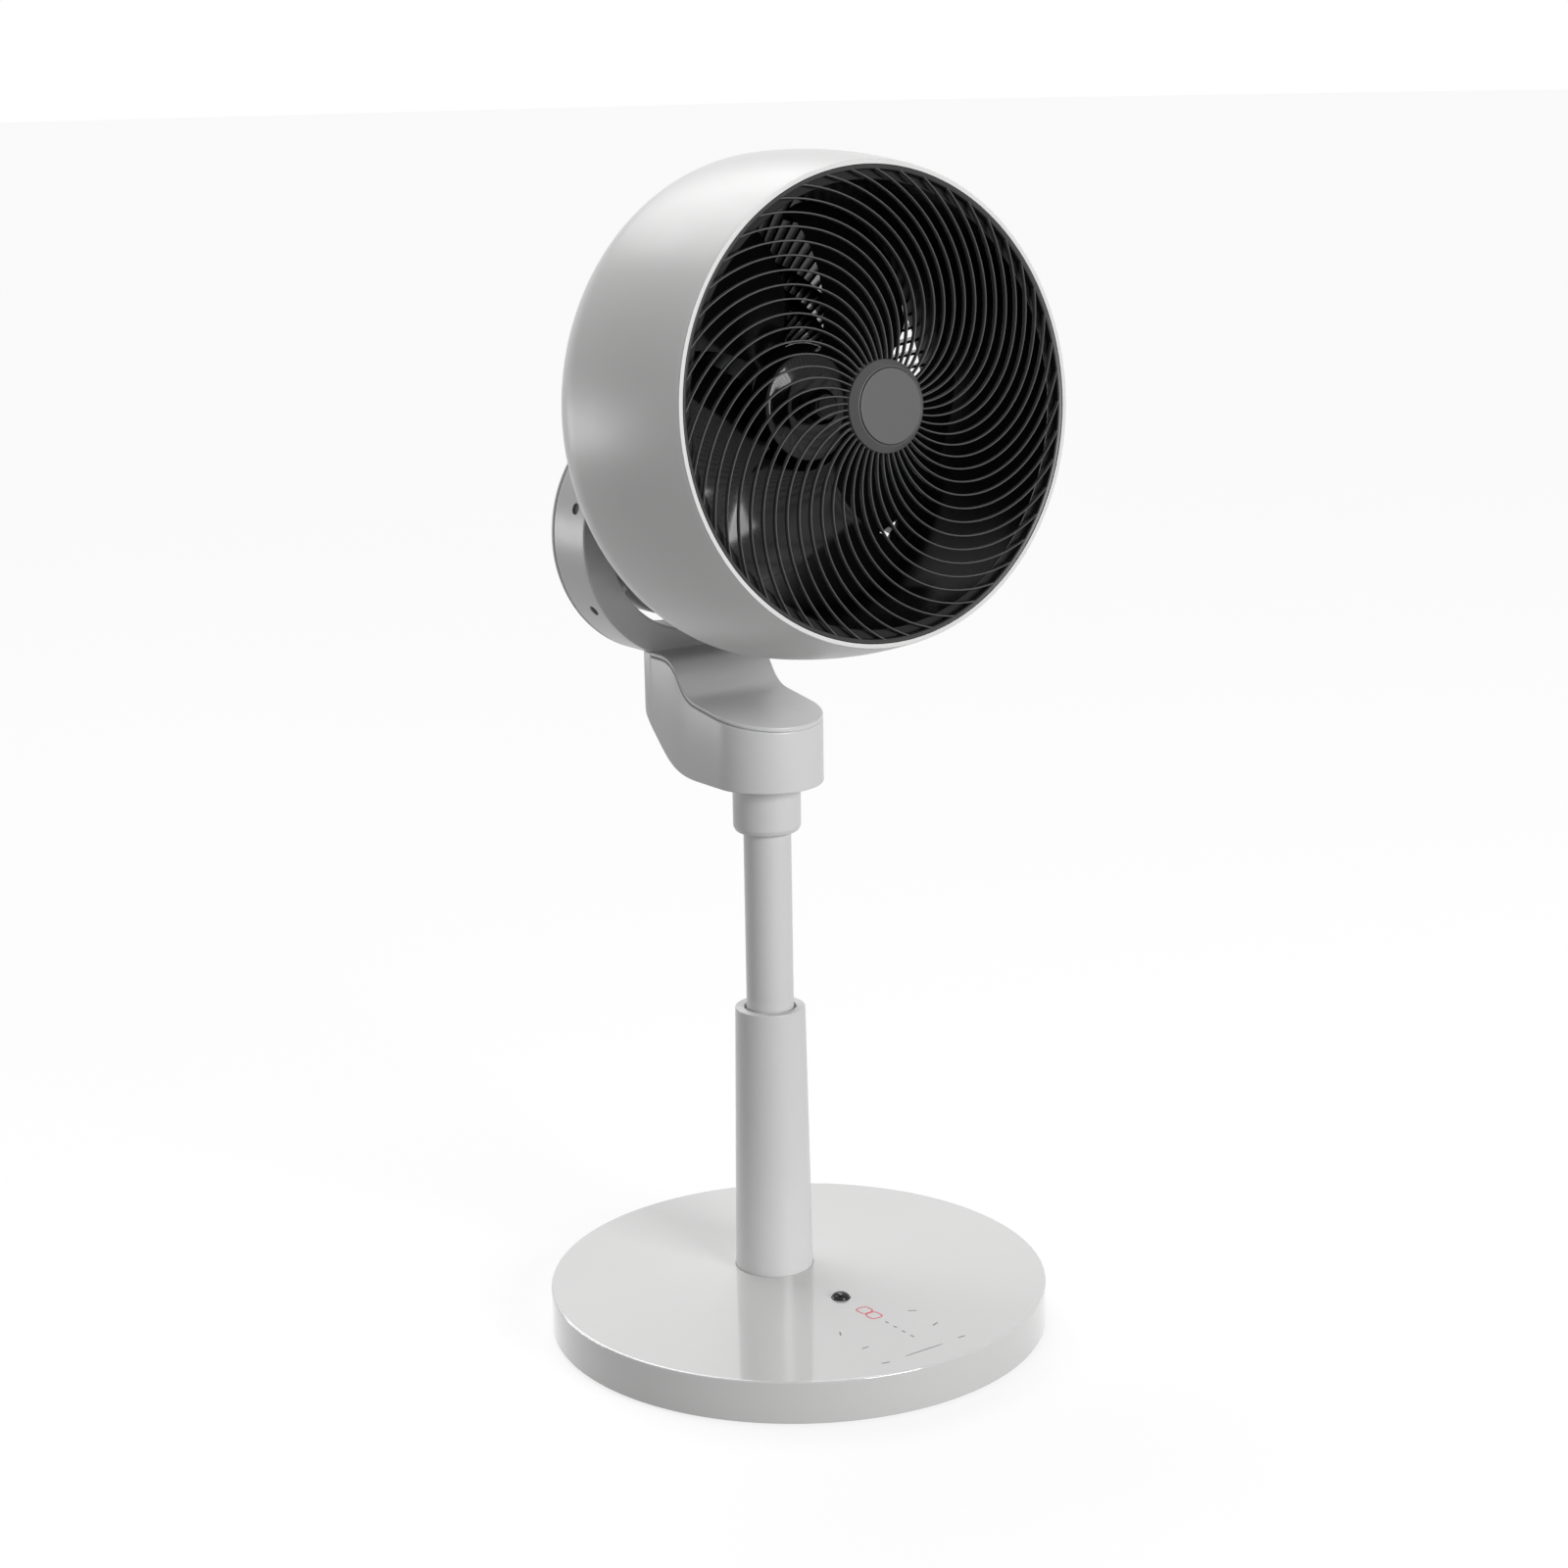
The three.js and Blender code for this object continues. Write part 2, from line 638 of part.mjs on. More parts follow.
// The side view from the nose along the keel and up the back, `inset` inside the outer skin.
function keelLine(inset) {
  const keel = new THREE.Path();
  keel.moveTo(-NECK_R + inset, inset);
  keel.lineTo(KEEL, inset);
  keel.bezierCurveTo(KEEL + 24, inset, KEEL + 30, inset + 8, HULL_Y - inset, HULL_Z + inset / 2);
  const back = NECK_BACK - inset;
  keel.bezierCurveTo(HULL_Y + 9 - inset, HULL_Z + 9, back, HULL_Z + 16, back, HULL_TOP_Z);
  return keel.getPoints(6).map((p) => [p.x, p.y]);
}

// The lid's upper side from the shelf's back edge to the tip of the nose.
const lidTop = [
  [RING_FRONT - GAP, NECK_H],
  [SHELF_Y, NECK_H],
  [SHELF_Y - 6, NECK_H - 2],
  [STEP_Y + 12, NECK_H - 6.5],
  [STEP_Y + 8.5, NECK_H - 14],
  [STEP_Y, NECK_H - 18.8],
  [STEP_Y - 10, NOSE_BACK_H],
  [-NECK_R, NOSE_H],
];
const lidUnder = (drop) => lidTop.map(([y, z], i) => [i ? y + LID_BACKSET * drop : y, z - LID_T * drop]);
const wholePlan = (inset) => raised(planOutline(inset), -1, NECK_H + 1);

function neckLid() {
  const under = lidUnder(1);
  const tip = under.at(-1)[1];
  const side = [...lidTop, [-NECK_R, tip], ...under.slice(0, -1).reverse()];
  return meet(carried(side, -NECK_R, NECK_R), wholePlan(0));
}

// The saddle that the ring arm rests in.
const saddle = () =>
  turnedY(discProfile(RING_R + GAP, RING_FRONT - 2 * GAP, RING_REAR + 5)).translate(0, 0, RING_Z - NECK_Z);

function neckHousing() {
  const drop = 1 + GAP / LID_T;
  const seam = lidUnder(drop).map(([y, z], i) => (i ? [y, z] : [NECK_BACK, NECK_H]));
  const shelf = [RING_FRONT - GAP, NECK_H - LID_T - GAP];
  const rear = [RING_FRONT - GAP, NECK_H];
  const outer = [...keelLine(0), seam[0], rear, shelf, ...seam.slice(1, -1), [-NECK_R, seam.at(-1)[1]]];
  const inner = [...keelLine(WALL), [NECK_BACK - WALL, NECK_H + 9], [-NECK_R, NECK_H + 9]];
  const hollow = meet(carried(inner, -NECK_R, NECK_R), raised(planOutline(WALL), WALL, NECK_H + 20));
  const hull = meet(carried(outer, -NECK_R, NECK_R), wholePlan(0));
  const posts = [-PAN_MOTOR_EAR, PAN_MOTOR_EAR].map((x) =>
    disc(POST_R, WALL - 0.5, PAN_MOTOR_Z - NECK_Z - GAP).translate(x, PINION_Y, 0),
  );
  const spigotHole = disc(SPIGOT_R + RUN, -1, WALL + 1);
  const screwHoles = footScrewPlaces.map(([x, z]) =>
    turnedY(discProfile(SCREW_R + RUN, NECK_BACK - 2 * WALL, NECK_BACK + 1)).translate(x, 0, z - NECK_Z),
  );
  return cut(join(cut(hull, hollow), ...posts), spigotHole, saddle(), ...screwHoles);
}

// ---- ring arm: a channel open to the back, with two ears for the tilt hinge and a foot in the neck
const ARM_FOOT_Z = NECK_Z + NECK_H - ARM_FOOT_H;
const footScrewPlaces = [-ARM_FOOT_W / 4, ARM_FOOT_W / 4].map((x) => [x, ARM_FOOT_Z + SCREW_HEAD_R]);
const rimScrewPlaces = [1, -1].flatMap((side) => RIM_SCREW_ANGLES.map((angle) => [side, radians(angle)]));
const tiltAxis = [RING_FRONT - TILT_REACH, RING_Z + RING_R - TILT_DROP];
const earSide = KNUCKLE_W / 2 + GAP + RUN;

// A round bar from `low` to `high` along the ring's radius at one rim screw.
const rimBar = (radius, low, high, [side, angle]) =>
  turnedX(discProfile(radius, low, high))
    .rotateY(side > 0 ? -angle : angle - Math.PI)
    .translate(0, RING_FRONT + RIM_SCREW_BACK, RING_Z);

function ringArm() {
  const [open, inner, outer] = [RING_REAR - RING_WALL - GAP, RING_BORE_R + RING_WALL, RING_R - RING_WALL];
  const band = turnedY(
    [
      [RING_BORE_R + RING_EDGE, RING_FRONT],
      [RING_R - RING_EDGE, RING_FRONT],
      [RING_R, RING_FRONT + RING_EDGE],
      [RING_R, open],
      [outer, open],
      [outer, RING_FRONT + RING_WALL],
      [inner, RING_FRONT + RING_WALL],
      [inner, open],
      [RING_BORE_R, open],
      [RING_BORE_R, RING_FRONT + RING_EDGE],
    ],
  ).translate(0, 0, RING_Z);
  const ears = [-earSide - EAR_T, earSide].flatMap((x) => [
    turnedX(discProfile(EAR_R, x, x + EAR_T)).translate(0, ...tiltAxis),
    block([x, x + EAR_T], [tiltAxis[0], RING_FRONT + 1], [tiltAxis[1] - EAR_R, tiltAxis[1] + EAR_R]),
  ]);
  const foot = block(
    [-ARM_FOOT_W / 2, ARM_FOOT_W / 2],
    [RING_FRONT, NECK_BACK - WALL - GAP],
    [ARM_FOOT_Z, NECK_Z + NECK_H + RING_WALL],
  );
  const towers = rimScrewPlaces.map((place) => rimBar(RIM_TOWER_R, RING_BORE_R + 1, RING_R - 1, place));
  const bore = turnedX(discProfile(TILT_SHAFT_R + RUN, -NECK_R, NECK_R)).translate(0, ...tiltAxis);
  const sinks = rimScrewPlaces.map((place) =>
    rimBar(RIM_SCREW_R + GAP, RING_R - RIM_SCREW_SUNK - RIM_SCREW_T - GAP, RING_R + 1, place),
  );
  const pilots = rimScrewPlaces.map((place) => rimBar(SCREW_R + RUN, DRUM_R, RING_R, place));
  const footHoles = footScrewPlaces.map(([x, z]) =>
    turnedY(discProfile(SCREW_R + RUN, NECK_BACK + SCREW_HEAD_T - SCREW_L, NECK_BACK)).translate(x, 0, z),
  );
  return cut(join(band, ...ears, foot, ...towers), bore, ...sinks, ...pilots, ...footHoles);
}

function ringCover() {
  const lip = RING_BORE_R + RING_WALL + GAP;
  return turnedY(
    [
      [RING_BORE_R, RING_REAR - RING_WALL],
      [lip, RING_REAR - RING_WALL],
      [lip, RING_REAR - RING_WALL - RING_LIP],
      [lip + RING_WALL / 2, RING_REAR - RING_WALL - RING_LIP],
      [lip + RING_WALL / 2, RING_REAR - RING_WALL],
      [RING_R, RING_REAR - RING_WALL],
      [RING_R, RING_REAR - RING_EDGE],
      [RING_R - RING_EDGE, RING_REAR],
      [RING_BORE_R + RING_EDGE, RING_REAR],
      [RING_BORE_R, RING_REAR - RING_EDGE],
    ],
  ).translate(0, 0, RING_Z);
}

const rimScrew = (place) =>
  join(
    rimBar(RIM_SCREW_R, RING_R - RIM_SCREW_SUNK - RIM_SCREW_T, RING_R - RIM_SCREW_SUNK, place),
    rimBar(SCREW_R, DRUM_R, RING_R - RIM_SCREW_SUNK - 1, place),
  );

// The drum inside the ring: a cup open to the back, held by a lug at each rim screw.
const DRUM_FRONT = RING_FRONT + DRUM_SETBACK;
function driveDrum() {
  const cup = turnedY(
    [
      [0, DRUM_FRONT],
      [DRUM_R - RING_EDGE, DRUM_FRONT],
      [DRUM_R, DRUM_FRONT + RING_EDGE],
      [DRUM_R, RING_REAR],
      [DRUM_R - DRUM_WALL, RING_REAR],
      [DRUM_R - DRUM_WALL, DRUM_FRONT + DRUM_WALL],
      [0, DRUM_FRONT + DRUM_WALL],
    ],
  ).translate(0, 0, RING_Z);
  const lugs = rimScrewPlaces.map((place) =>
    rimBar(DRUM_LUG_R, DRUM_R - DRUM_WALL - 3, RING_BORE_R - GAP, place),
  );
  const pilots = rimScrewPlaces.map((place) => rimBar(SCREW_R + RUN, DRUM_R - 1, RING_BORE_R + 1, place));
  return cut(join(cup, ...lugs), ...pilots);
}

const drumCover = () =>
  turnedY(
    [
      [0, RING_REAR + GAP],
      [DRUM_R, RING_REAR + GAP],
      [DRUM_R, RING_REAR + 2],
      [DRUM_R - 3, RING_REAR + 4],
      [DRUM_R / 2, RING_REAR + DRUM_COVER_T - 1],
      [0, RING_REAR + DRUM_COVER_T],
    ],
  ).translate(0, 0, RING_Z);

function driverBoard() {
  const low = DRUM_FRONT + DRUM_WALL + GAP;
  const [halfW, halfH] = [DRIVER_BOARD_W / 2, DRIVER_BOARD_H / 2];
  return block([-halfW, halfW], [low, low + BOARD_T], [RING_Z - halfH, RING_Z + halfH]);
}

// ---- tilt hinge
const earOutside = earSide + EAR_T;
const tiltMotor = () =>
  cut(
    turnedX(discProfile(TILT_MOTOR_R, earOutside + GAP, earOutside + GAP + TILT_MOTOR_L)),
    turnedX(discProfile(TILT_SHAFT_R + RUN, 0, earOutside + TILT_SHAFT_IN + GAP)),
  );
const pivotCap = () => turnedX(discProfile(PIVOT_CAP_R, -earOutside - GAP - PIVOT_CAP_T, -earOutside - GAP));
const tiltShaft = () => turnedX(discProfile(TILT_SHAFT_R, -earOutside, earOutside + TILT_SHAFT_IN));

// ---- head, drawn with the grille plane at y = 0 and the fan axis along Y
const bracketScrewPlaces = BRACKET_SCREW_ANGLES.map((angle) => [
  BRACKET_SCREW_R * Math.cos(radians(angle)),
  BRACKET_SCREW_R * Math.sin(radians(angle)),
]);

function headBracket() {
  const [front, back] = [REAR_FACE + GAP, REAR_FACE + GAP + BRACKET_T];
  const plate = turnedY(discProfile(BRACKET_R, front, back));
  const barrel = turnedX(discProfile(KNUCKLE_R, -KNUCKLE_W / 2, KNUCKLE_W / 2));
  const [halfW, halfWeb] = [KNUCKLE_W / 2, KNUCKLE_WEB / 2];
  const web = block([-halfW, halfW], [back - 1, HEAD_BACK], [-halfWeb, halfWeb]);
  const bore = turnedX(discProfile(TILT_SHAFT_R + GAP / 3, -KNUCKLE_W, KNUCKLE_W));
  const holes = bracketScrewPlaces.map(([x, z]) =>
    turnedY(discProfile(SCREW_R + RUN, front - 1, back + 1)).translate(x, 0, z),
  );
  const whole = join(plate, barrel.translate(0, HEAD_BACK, -HEAD_RISE), web.translate(0, 0, -HEAD_RISE));
  return cut(whole, bore.translate(0, HEAD_BACK, -HEAD_RISE), ...holes);
}

// The shell's outer radius `back` behind the grille plane: one arc to its widest, then an ellipse.
function shellRadius(back) {
  const reach = SHELL_MAX_BACK / Math.sqrt(1 - (SHELL_FRONT_R / SHELL_MAX_R) ** 2);
  const run = back < SHELL_MAX_BACK ? reach : SHELL_REAR - SHELL_MAX_BACK;
  return SHELL_MAX_R * Math.sqrt(Math.max(0, 1 - ((back - SHELL_MAX_BACK) / run) ** 2));
}

// How far back the shell's rear ellipse lies at a radius.
const rearDepth = (r) =>
  SHELL_MAX_BACK + (SHELL_REAR - SHELL_MAX_BACK) * Math.sqrt(1 - (r / SHELL_MAX_R) ** 2);

function headShell() {
  const front = [0, 0.5, 1].map((share) => THREE.MathUtils.lerp(LIP_DEPTH * 1.5, SHELL_MAX_BACK, share));
  const back = [0.55, 1].map((share) => SHELL_MAX_BACK + (SHELL_END - SHELL_MAX_BACK) * share);
  const stations = [...front, ...back];
  return turnedY(
    [
      [GRILLE_R + GAP, 0],
      [SHELL_FRONT_R - LIP_EDGE, 0],
      [SHELL_FRONT_R, LIP_EDGE],
      ...stations.map((s) => [shellRadius(s), s]),
      ...stations.reverse().map((s) => [shellRadius(s) - WALL, s]),
      [GRILLE_R + GAP, LIP_DEPTH],
    ],
  );
}

const airDuct = () =>
  turnedY(
    [
      [DUCT_R, DUCT_FLANGE],
      [GRILLE_R, DUCT_FLANGE],
      [GRILLE_R, DUCT_FLANGE + DUCT_FLANGE_T],
      [DUCT_R + DUCT_WALL, DUCT_FLANGE + DUCT_FLANGE_T + 1],
      [DUCT_R + DUCT_WALL, SHELL_END - 2],
      [DUCT_R, SHELL_END - 2],
    ],
  );

const CAP_FACE = -HUB_DOME - HUB_CONE - CAP_PROUD;
function frontGrille() {
  const rim = turnedY(pipeProfile(GRILLE_R, GRILLE_R - RIM_W, DUCT_FLANGE - GAP - RIM_T, DUCT_FLANGE - GAP));
  const hub = turnedY([
    [0, CAP_FACE + CAP_PROUD + CAP_SUNK],
    [CAP_R + GAP, CAP_FACE + CAP_PROUD + CAP_SUNK],
    [CAP_R + GAP, CAP_FACE + CAP_PROUD],
    [CAP_R + GAP + 0.6, CAP_FACE + CAP_PROUD],
    [HUB_R, -HUB_DOME],
    [HUB_R, -HUB_DOME + HUB_T],
    [0, -HUB_DOME + HUB_T],
  ]);
  const [from, to] = [HUB_R - 1, GRILLE_R - RIM_W + 0.8];
  const ribs = around(RIBS, 0, (i, start) =>
    bar(
      Array.from({ length: RIB_STEPS + 1 }, (_, k) => {
        const out = k / RIB_STEPS;
        const r = from + (to - from) * out;
        const angle = start + radians(RIB_SWEEP) * out ** RIB_CURL;
        const depth = (RIB_LIFT - HUB_DOME) * (1 - out ** 2) + RIB_LIFT * out;
        return [r * Math.cos(angle), depth, r * Math.sin(angle)];
      }),
      RIB_W,
      RIB_D,
    ),
  );
  return join(rim, hub, ...ribs);
}

const hubCap = () =>
  turnedY([
    [0, CAP_FACE],
    [CAP_R - 0.7, CAP_FACE],
    [CAP_R, CAP_FACE + 0.5],
    [CAP_R, CAP_FACE + CAP_PROUD + CAP_SUNK - GAP],
    [0, CAP_FACE + CAP_PROUD + CAP_SUNK - GAP],
  ]);

function rearGrille() {
  const [lip, rimBack] = [SHELL_END + GAP, SHELL_END + REAR_RIM_L];
  const inside = DUCT_R + DUCT_WALL + GAP;
  const rim = turnedY(
    [
      [inside, SHELL_END - REAR_SPIGOT_L],
      [shellRadius(SHELL_END) - WALL - GAP, SHELL_END - REAR_SPIGOT_L],
      [shellRadius(SHELL_END) - WALL - GAP, lip],
      [shellRadius(lip), lip],
      [shellRadius(rimBack), rimBack],
      [inside, rimBack],
    ],
  );
  const hub = turnedY(discProfile(REAR_HUB_R, REAR_FACE - REAR_HUB_T, REAR_FACE));
  const ringBack = rearDepth(REAR_RING_R) - 0.4;
  const ring = turnedY(
    pipeProfile(
      REAR_RING_R + REAR_RING_W / 2,
      REAR_RING_R - REAR_RING_W / 2,
      ringBack - REAR_RIB_D,
      ringBack,
    ),
  );
  const [from, to] = [Math.asin((REAR_HUB_R - 1) / SHELL_MAX_R), Math.asin((inside + 1) / SHELL_MAX_R)];
  const ribs = around(REAR_RIBS, 0, (i, angle) =>
    bar(
      Array.from({ length: REAR_RIB_STEPS + 1 }, (_, k) => {
        const r = SHELL_MAX_R * Math.sin(from + ((to - from) * k) / REAR_RIB_STEPS);
        return [r * Math.cos(angle), rearDepth(r) - REAR_RIB_D - 0.2, r * Math.sin(angle)];
      }),
      REAR_RIB_W,
      REAR_RIB_D,
    ),
  );
  const holes = bracketScrewPlaces.map(([x, z]) =>
    turnedY(discProfile(SCREW_R + RUN, REAR_FACE - REAR_HUB_T - 1, REAR_FACE + 1)).translate(x, 0, z),
  );
  return cut(join(rim, hub, ring, ...ribs), ...holes);
}

// ---- fan
const BOSS_FRONT = FAN_MOTOR_FRONT - FAN_BOSS_L;
const NUT_BACK = FAN_HUB_FRONT - GAP;

function fanMotor() {
  const rear = REAR_FACE - REAR_HUB_T - GAP;
  const [shaft, inside] = [FAN_SHAFT_R + RUN / 2, BOSS_FRONT + FAN_SHAFT_IN];
  const can = turnedY(
    [
      [0, inside],
      [shaft, inside],
      [shaft, BOSS_FRONT],
      [FAN_BOSS_R, BOSS_FRONT],
      [FAN_BOSS_R, FAN_MOTOR_FRONT],
      [FAN_MOTOR_R - 2, FAN_MOTOR_FRONT],
      [FAN_MOTOR_R, FAN_MOTOR_FRONT + 2],
      [FAN_MOTOR_R, rear],
      [0, rear],
    ],
  );
  const holes = bracketScrewPlaces.map(([x, z]) =>
    turnedY(discProfile(SCREW_R + RUN, REAR_FACE - SCREW_L, rear + 1)).translate(x, 0, z),
  );
  return cut(can, ...holes);
}

const fanShaft = () => turnedY(discProfile(FAN_SHAFT_R, NUT_BACK - NUT_L + 4, BOSS_FRONT + FAN_SHAFT_IN - 1));

// One blade: a twisted plate whose rear edge leads, swept back towards the tip.
function blade(start) {
  const middle = FAN_HUB_FRONT + FAN_HUB_L / 2;
  const steps = 3;
  const rings = Array.from({ length: 5 }, (_, k) => {
    const out = k / 4;
    const r = THREE.MathUtils.lerp(FAN_HUB_R - 0.4 * FAN_HUB_WALL, BLADE_TIP_R, out);
    const span = radians(THREE.MathUtils.lerp(BLADE_SPAN_HUB, BLADE_SPAN_TIP, out));
    const depth = THREE.MathUtils.lerp(BLADE_DEPTH_HUB, BLADE_DEPTH_TIP, out);
    const lean = radians(BLADE_LEAN) * out ** 1.5;
    const row = (shift) =>
      Array.from({ length: steps + 1 }, (_, j) => {
        const across = j / steps - 0.5;
        const angle = start + lean + span * across;
        const y = middle - depth * (across + 0.35 * (across ** 2 - 0.25)) + shift;
        return [r * Math.cos(angle), y, r * Math.sin(angle)];
      });
    return [...row(-BLADE_T / 2), ...row(BLADE_T / 2).reverse()];
  });
  return lofted(rings);
}

function impeller() {
  const [front, back] = [FAN_HUB_FRONT, FAN_HUB_FRONT + FAN_HUB_L];
  const [bore, wall] = [FAN_SHAFT_R + GAP / 3, FAN_HUB_WALL];
  const hub = turnedY(
    [
      [bore, front],
      [FAN_HUB_R * 0.55, front],
      [FAN_HUB_R * 0.84, front + 2.5],
      [FAN_HUB_R, front + 10],
      [FAN_HUB_R, back],
      [FAN_HUB_R - wall, back],
      [FAN_HUB_R - wall, front + 11],
      [FAN_HUB_R * 0.8, front + 4 + wall / 2],
      [FAN_BORE_BOSS_R, front + wall],
      [FAN_BORE_BOSS_R, back - FAN_BOSS_L],
      [bore, back - FAN_BOSS_L],
    ],
    6 * BLADES,
  );
  return join(hub, ...around(BLADES, BLADE_START, (i, start) => blade(start)));
}

const bladeNut = () =>
  turnedY(
    [
      [0, NUT_BACK - NUT_L],
      [NUT_R * 0.7, NUT_BACK - NUT_L],
      [NUT_R, NUT_BACK - NUT_L + 4],
      [NUT_R, NUT_BACK],
      [FAN_SHAFT_R + GAP / 3, NUT_BACK],
      [FAN_SHAFT_R + GAP / 3, NUT_BACK - NUT_L + 4 - GAP],
      [0, NUT_BACK - NUT_L + 4 - GAP],
    ],
  );

// ---- assembly
const screwBack = (length) => screw(length).rotateX(Math.PI / 2);
const screwSeat = PLATE_TOP - PLATE_WEB - GAP - SCREW_HEAD_T;
const socketScrewZ = SOCKET_FLANGE_TOP - SOCKET_FLANGE_T - GAP - SCREW_HEAD_T;

const base = group(
  [0, 0, 0],
  piece('base_cover', baseCover(), whiteShell),
  piece('base_plate', basePlate(), ductBlack),
  piece('base_weight', baseWeight(), steel),
  footPlaces.map(([x, y], i) =>
    piece(`foot_${i + 1}`, disc(FOOT_R, 0, FOOT_PROUD + FOOT_SUNK - GAP), rubber, [x, y, 0]),
  ),
  bossPlaces.map(([x, y], i) => piece(`base_screw_${i + 1}`, screw(SCREW_L), screwDark, [x, y, screwSeat])),
  piece('column_socket', columnSocket(), steel, [0, COLUMN_Y, 0]),
  socketScrewPlaces.map(([x, y], i) =>
    piece(`socket_screw_${i + 1}`, screw(SCREW_L), screwDark, [x, y, socketScrewZ]),
  ),
  piece('column_bolt', columnBolt(), steel, [0, COLUMN_Y, 0]),
  piece('control_board', controlBoard(), boardGreen),
  piece('display_module', displayModule(), glossBlack),
  piece('receiver_lens', receiverLens(), glossBlack, [0, COLUMN_Y - LENS_FORWARD, 0]),
  piece('power_inlet', powerInlet(), ductBlack, [0, 0, INLET_Z]),
);

const column = group(
  [0, COLUMN_Y, 0],
  piece('lower_tube', lowerTube(), paleColumn),
  piece('tube_bush', tubeBush(), gearWhite),
  piece('upper_tube', upperTube(), paleColumn),
  piece('slide_shoe', slideShoe(), gearWhite),
  piece('neck_collar', neckCollar(), paleColumn),
  piece('pan_washer', panWasher(), gearWhite),
  piece('pan_gear', panGear(), gearWhite),
  piece('spindle_clip', spindleClip(), steel),
);

const arm = group(
  [0, COLUMN_Y, 0],
  piece('neck_housing', neckHousing(), paleColumn, [0, 0, NECK_Z]),
  piece('neck_lid', neckLid(), paleColumn, [0, 0, NECK_Z]),
  piece('pan_motor', panMotor(), steel, [0, PINION_Y, 0]),
  piece('pan_pinion', panPinion(), gearWhite, [0, PINION_Y, 0]),
  piece('pan_shaft', panShaft(), steel, [0, PINION_Y, 0]),
  piece('ring_arm', ringArm(), paleColumn),
  piece('ring_cover', ringCover(), paleColumn),
  rimScrewPlaces.map((place, i) => piece(`rim_screw_${i + 1}`, rimScrew(place), screwDark)),
  footScrewPlaces.map(([x, z], i) =>
    piece(`arm_screw_${i + 1}`, screwBack(SCREW_L), screwDark, [x, NECK_BACK + GAP + SCREW_HEAD_T, z]),
  ),
  piece('drive_drum', driveDrum(), paleColumn),
  piece('drum_cover', drumCover(), paleColumn),
  piece('driver_board', driverBoard(), boardGreen),
  piece('tilt_motor', tiltMotor(), steel, [0, ...tiltAxis]),
  piece('pivot_cap', pivotCap(), paleColumn, [0, ...tiltAxis]),
);

const fan = group(
  [0, 0, 0],
  piece('fan_shaft', fanShaft(), steel),
  piece('impeller', impeller(), glossBlack),
  piece('blade_nut', bladeNut(), ductBlack),
);

const head = group(
  [0, -HEAD_BACK, HEAD_RISE],
  piece('head_bracket', headBracket(), paleColumn),
  bracketScrewPlaces.map(([x, z], i) =>
    piece(`bracket_screw_${i + 1}`, screwBack(SCREW_L), screwDark, [
      x,
      REAR_FACE + GAP + BRACKET_T + GAP + SCREW_HEAD_T,
      z,
    ]),
  ),
  piece('head_shell', headShell(), whiteShell),
  piece('air_duct', airDuct(), ductBlack),
  piece('front_grille', frontGrille(), ribGrey),
  piece('hub_cap', hubCap(), capGrey),
  piece('rear_grille', rearGrille(), ductBlack),
  piece('fan_motor', fanMotor(), steel),
  fan,
);

const tilting = group([0, TILT_Y, TILT_Z], piece('tilt_shaft', tiltShaft(), steel), head);
tilting.rotation.x = -radians(TILT_REST);

export default group([0, 0, 0], base, column, arm, tilting);
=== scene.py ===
import json

import bmesh
import bpy
import numpy as np
from mathutils import Matrix, Vector


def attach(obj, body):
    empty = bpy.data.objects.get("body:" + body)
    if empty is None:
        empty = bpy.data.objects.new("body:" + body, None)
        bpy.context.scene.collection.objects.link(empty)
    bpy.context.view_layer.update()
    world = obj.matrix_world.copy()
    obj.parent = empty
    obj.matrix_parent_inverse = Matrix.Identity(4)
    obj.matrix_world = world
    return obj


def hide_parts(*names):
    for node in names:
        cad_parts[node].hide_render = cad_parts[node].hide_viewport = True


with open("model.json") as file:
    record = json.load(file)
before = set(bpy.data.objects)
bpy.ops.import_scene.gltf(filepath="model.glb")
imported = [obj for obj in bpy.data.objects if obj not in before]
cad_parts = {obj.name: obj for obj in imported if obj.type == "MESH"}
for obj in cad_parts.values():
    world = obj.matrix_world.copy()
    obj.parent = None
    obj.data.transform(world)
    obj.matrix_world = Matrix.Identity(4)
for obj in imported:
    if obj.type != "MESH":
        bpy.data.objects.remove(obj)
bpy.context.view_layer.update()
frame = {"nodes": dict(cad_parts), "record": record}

MM = 0.001

# ---- sizes in millimetres: the solids' own, but for COVER_EDGE, RIM_SHOWN, RIB_CREST, BLADE_SPAN and the slats
GAP, WALL = 0.3, 2.6
BASE_R, BASE_TOP, FOOT_PROUD, COVER_EDGE = 150, 27, 1.5, 1
LENS_R, LENS_PROUD, LENS_FORWARD, DISPLAY_FORWARD = 5.5, 3.4, 68, 96
INLET_R, INLET_BORE_R, INLET_L, INLET_Z = 5.5, 2.8, 13, 14
MARK_PROUD, SOCKET_FLOOR_Z, BOLT_HOLE_R = 0.06, 11.9, 3.8
COLUMN_Y, LOWER_FOOT_R, LOWER_TOP_R, LOWER_TOP = 25, 23.7, 21.1, 192.5
LOWER_LIP_R, LOWER_LIP_T, LOWER_BORE_R, UPPER_R, UPPER_WALL, UPPER_HELD = 15.7, 3, 18.8, 14.2, 1.6, 50
COLLAR_Z, COLLAR_H, COLLAR_R, COLLAR_CHAMFER, COLLAR_SEAT = 301.2, 30.1, 20.2, 4, 20
COLLAR_TOP = COLLAR_Z + COLLAR_H
SPIGOT_R, SPIGOT_BORE_R, SPIGOT_H = 12, 8, 17.5
NECK_Z, NECK_R, NECK_BACK, NECK_H, NOSE_H, NOSE_BACK_H = COLLAR_TOP + GAP, 34, 81, 71.2, 39, 48
KEEL, HULL_Y, HULL_Z, HULL_TOP_Z, NECK_CORNER, LID_T = 24, 68, 22, 54, 6, 2.6
STEP_Y, SHELF_Y = 34, 60
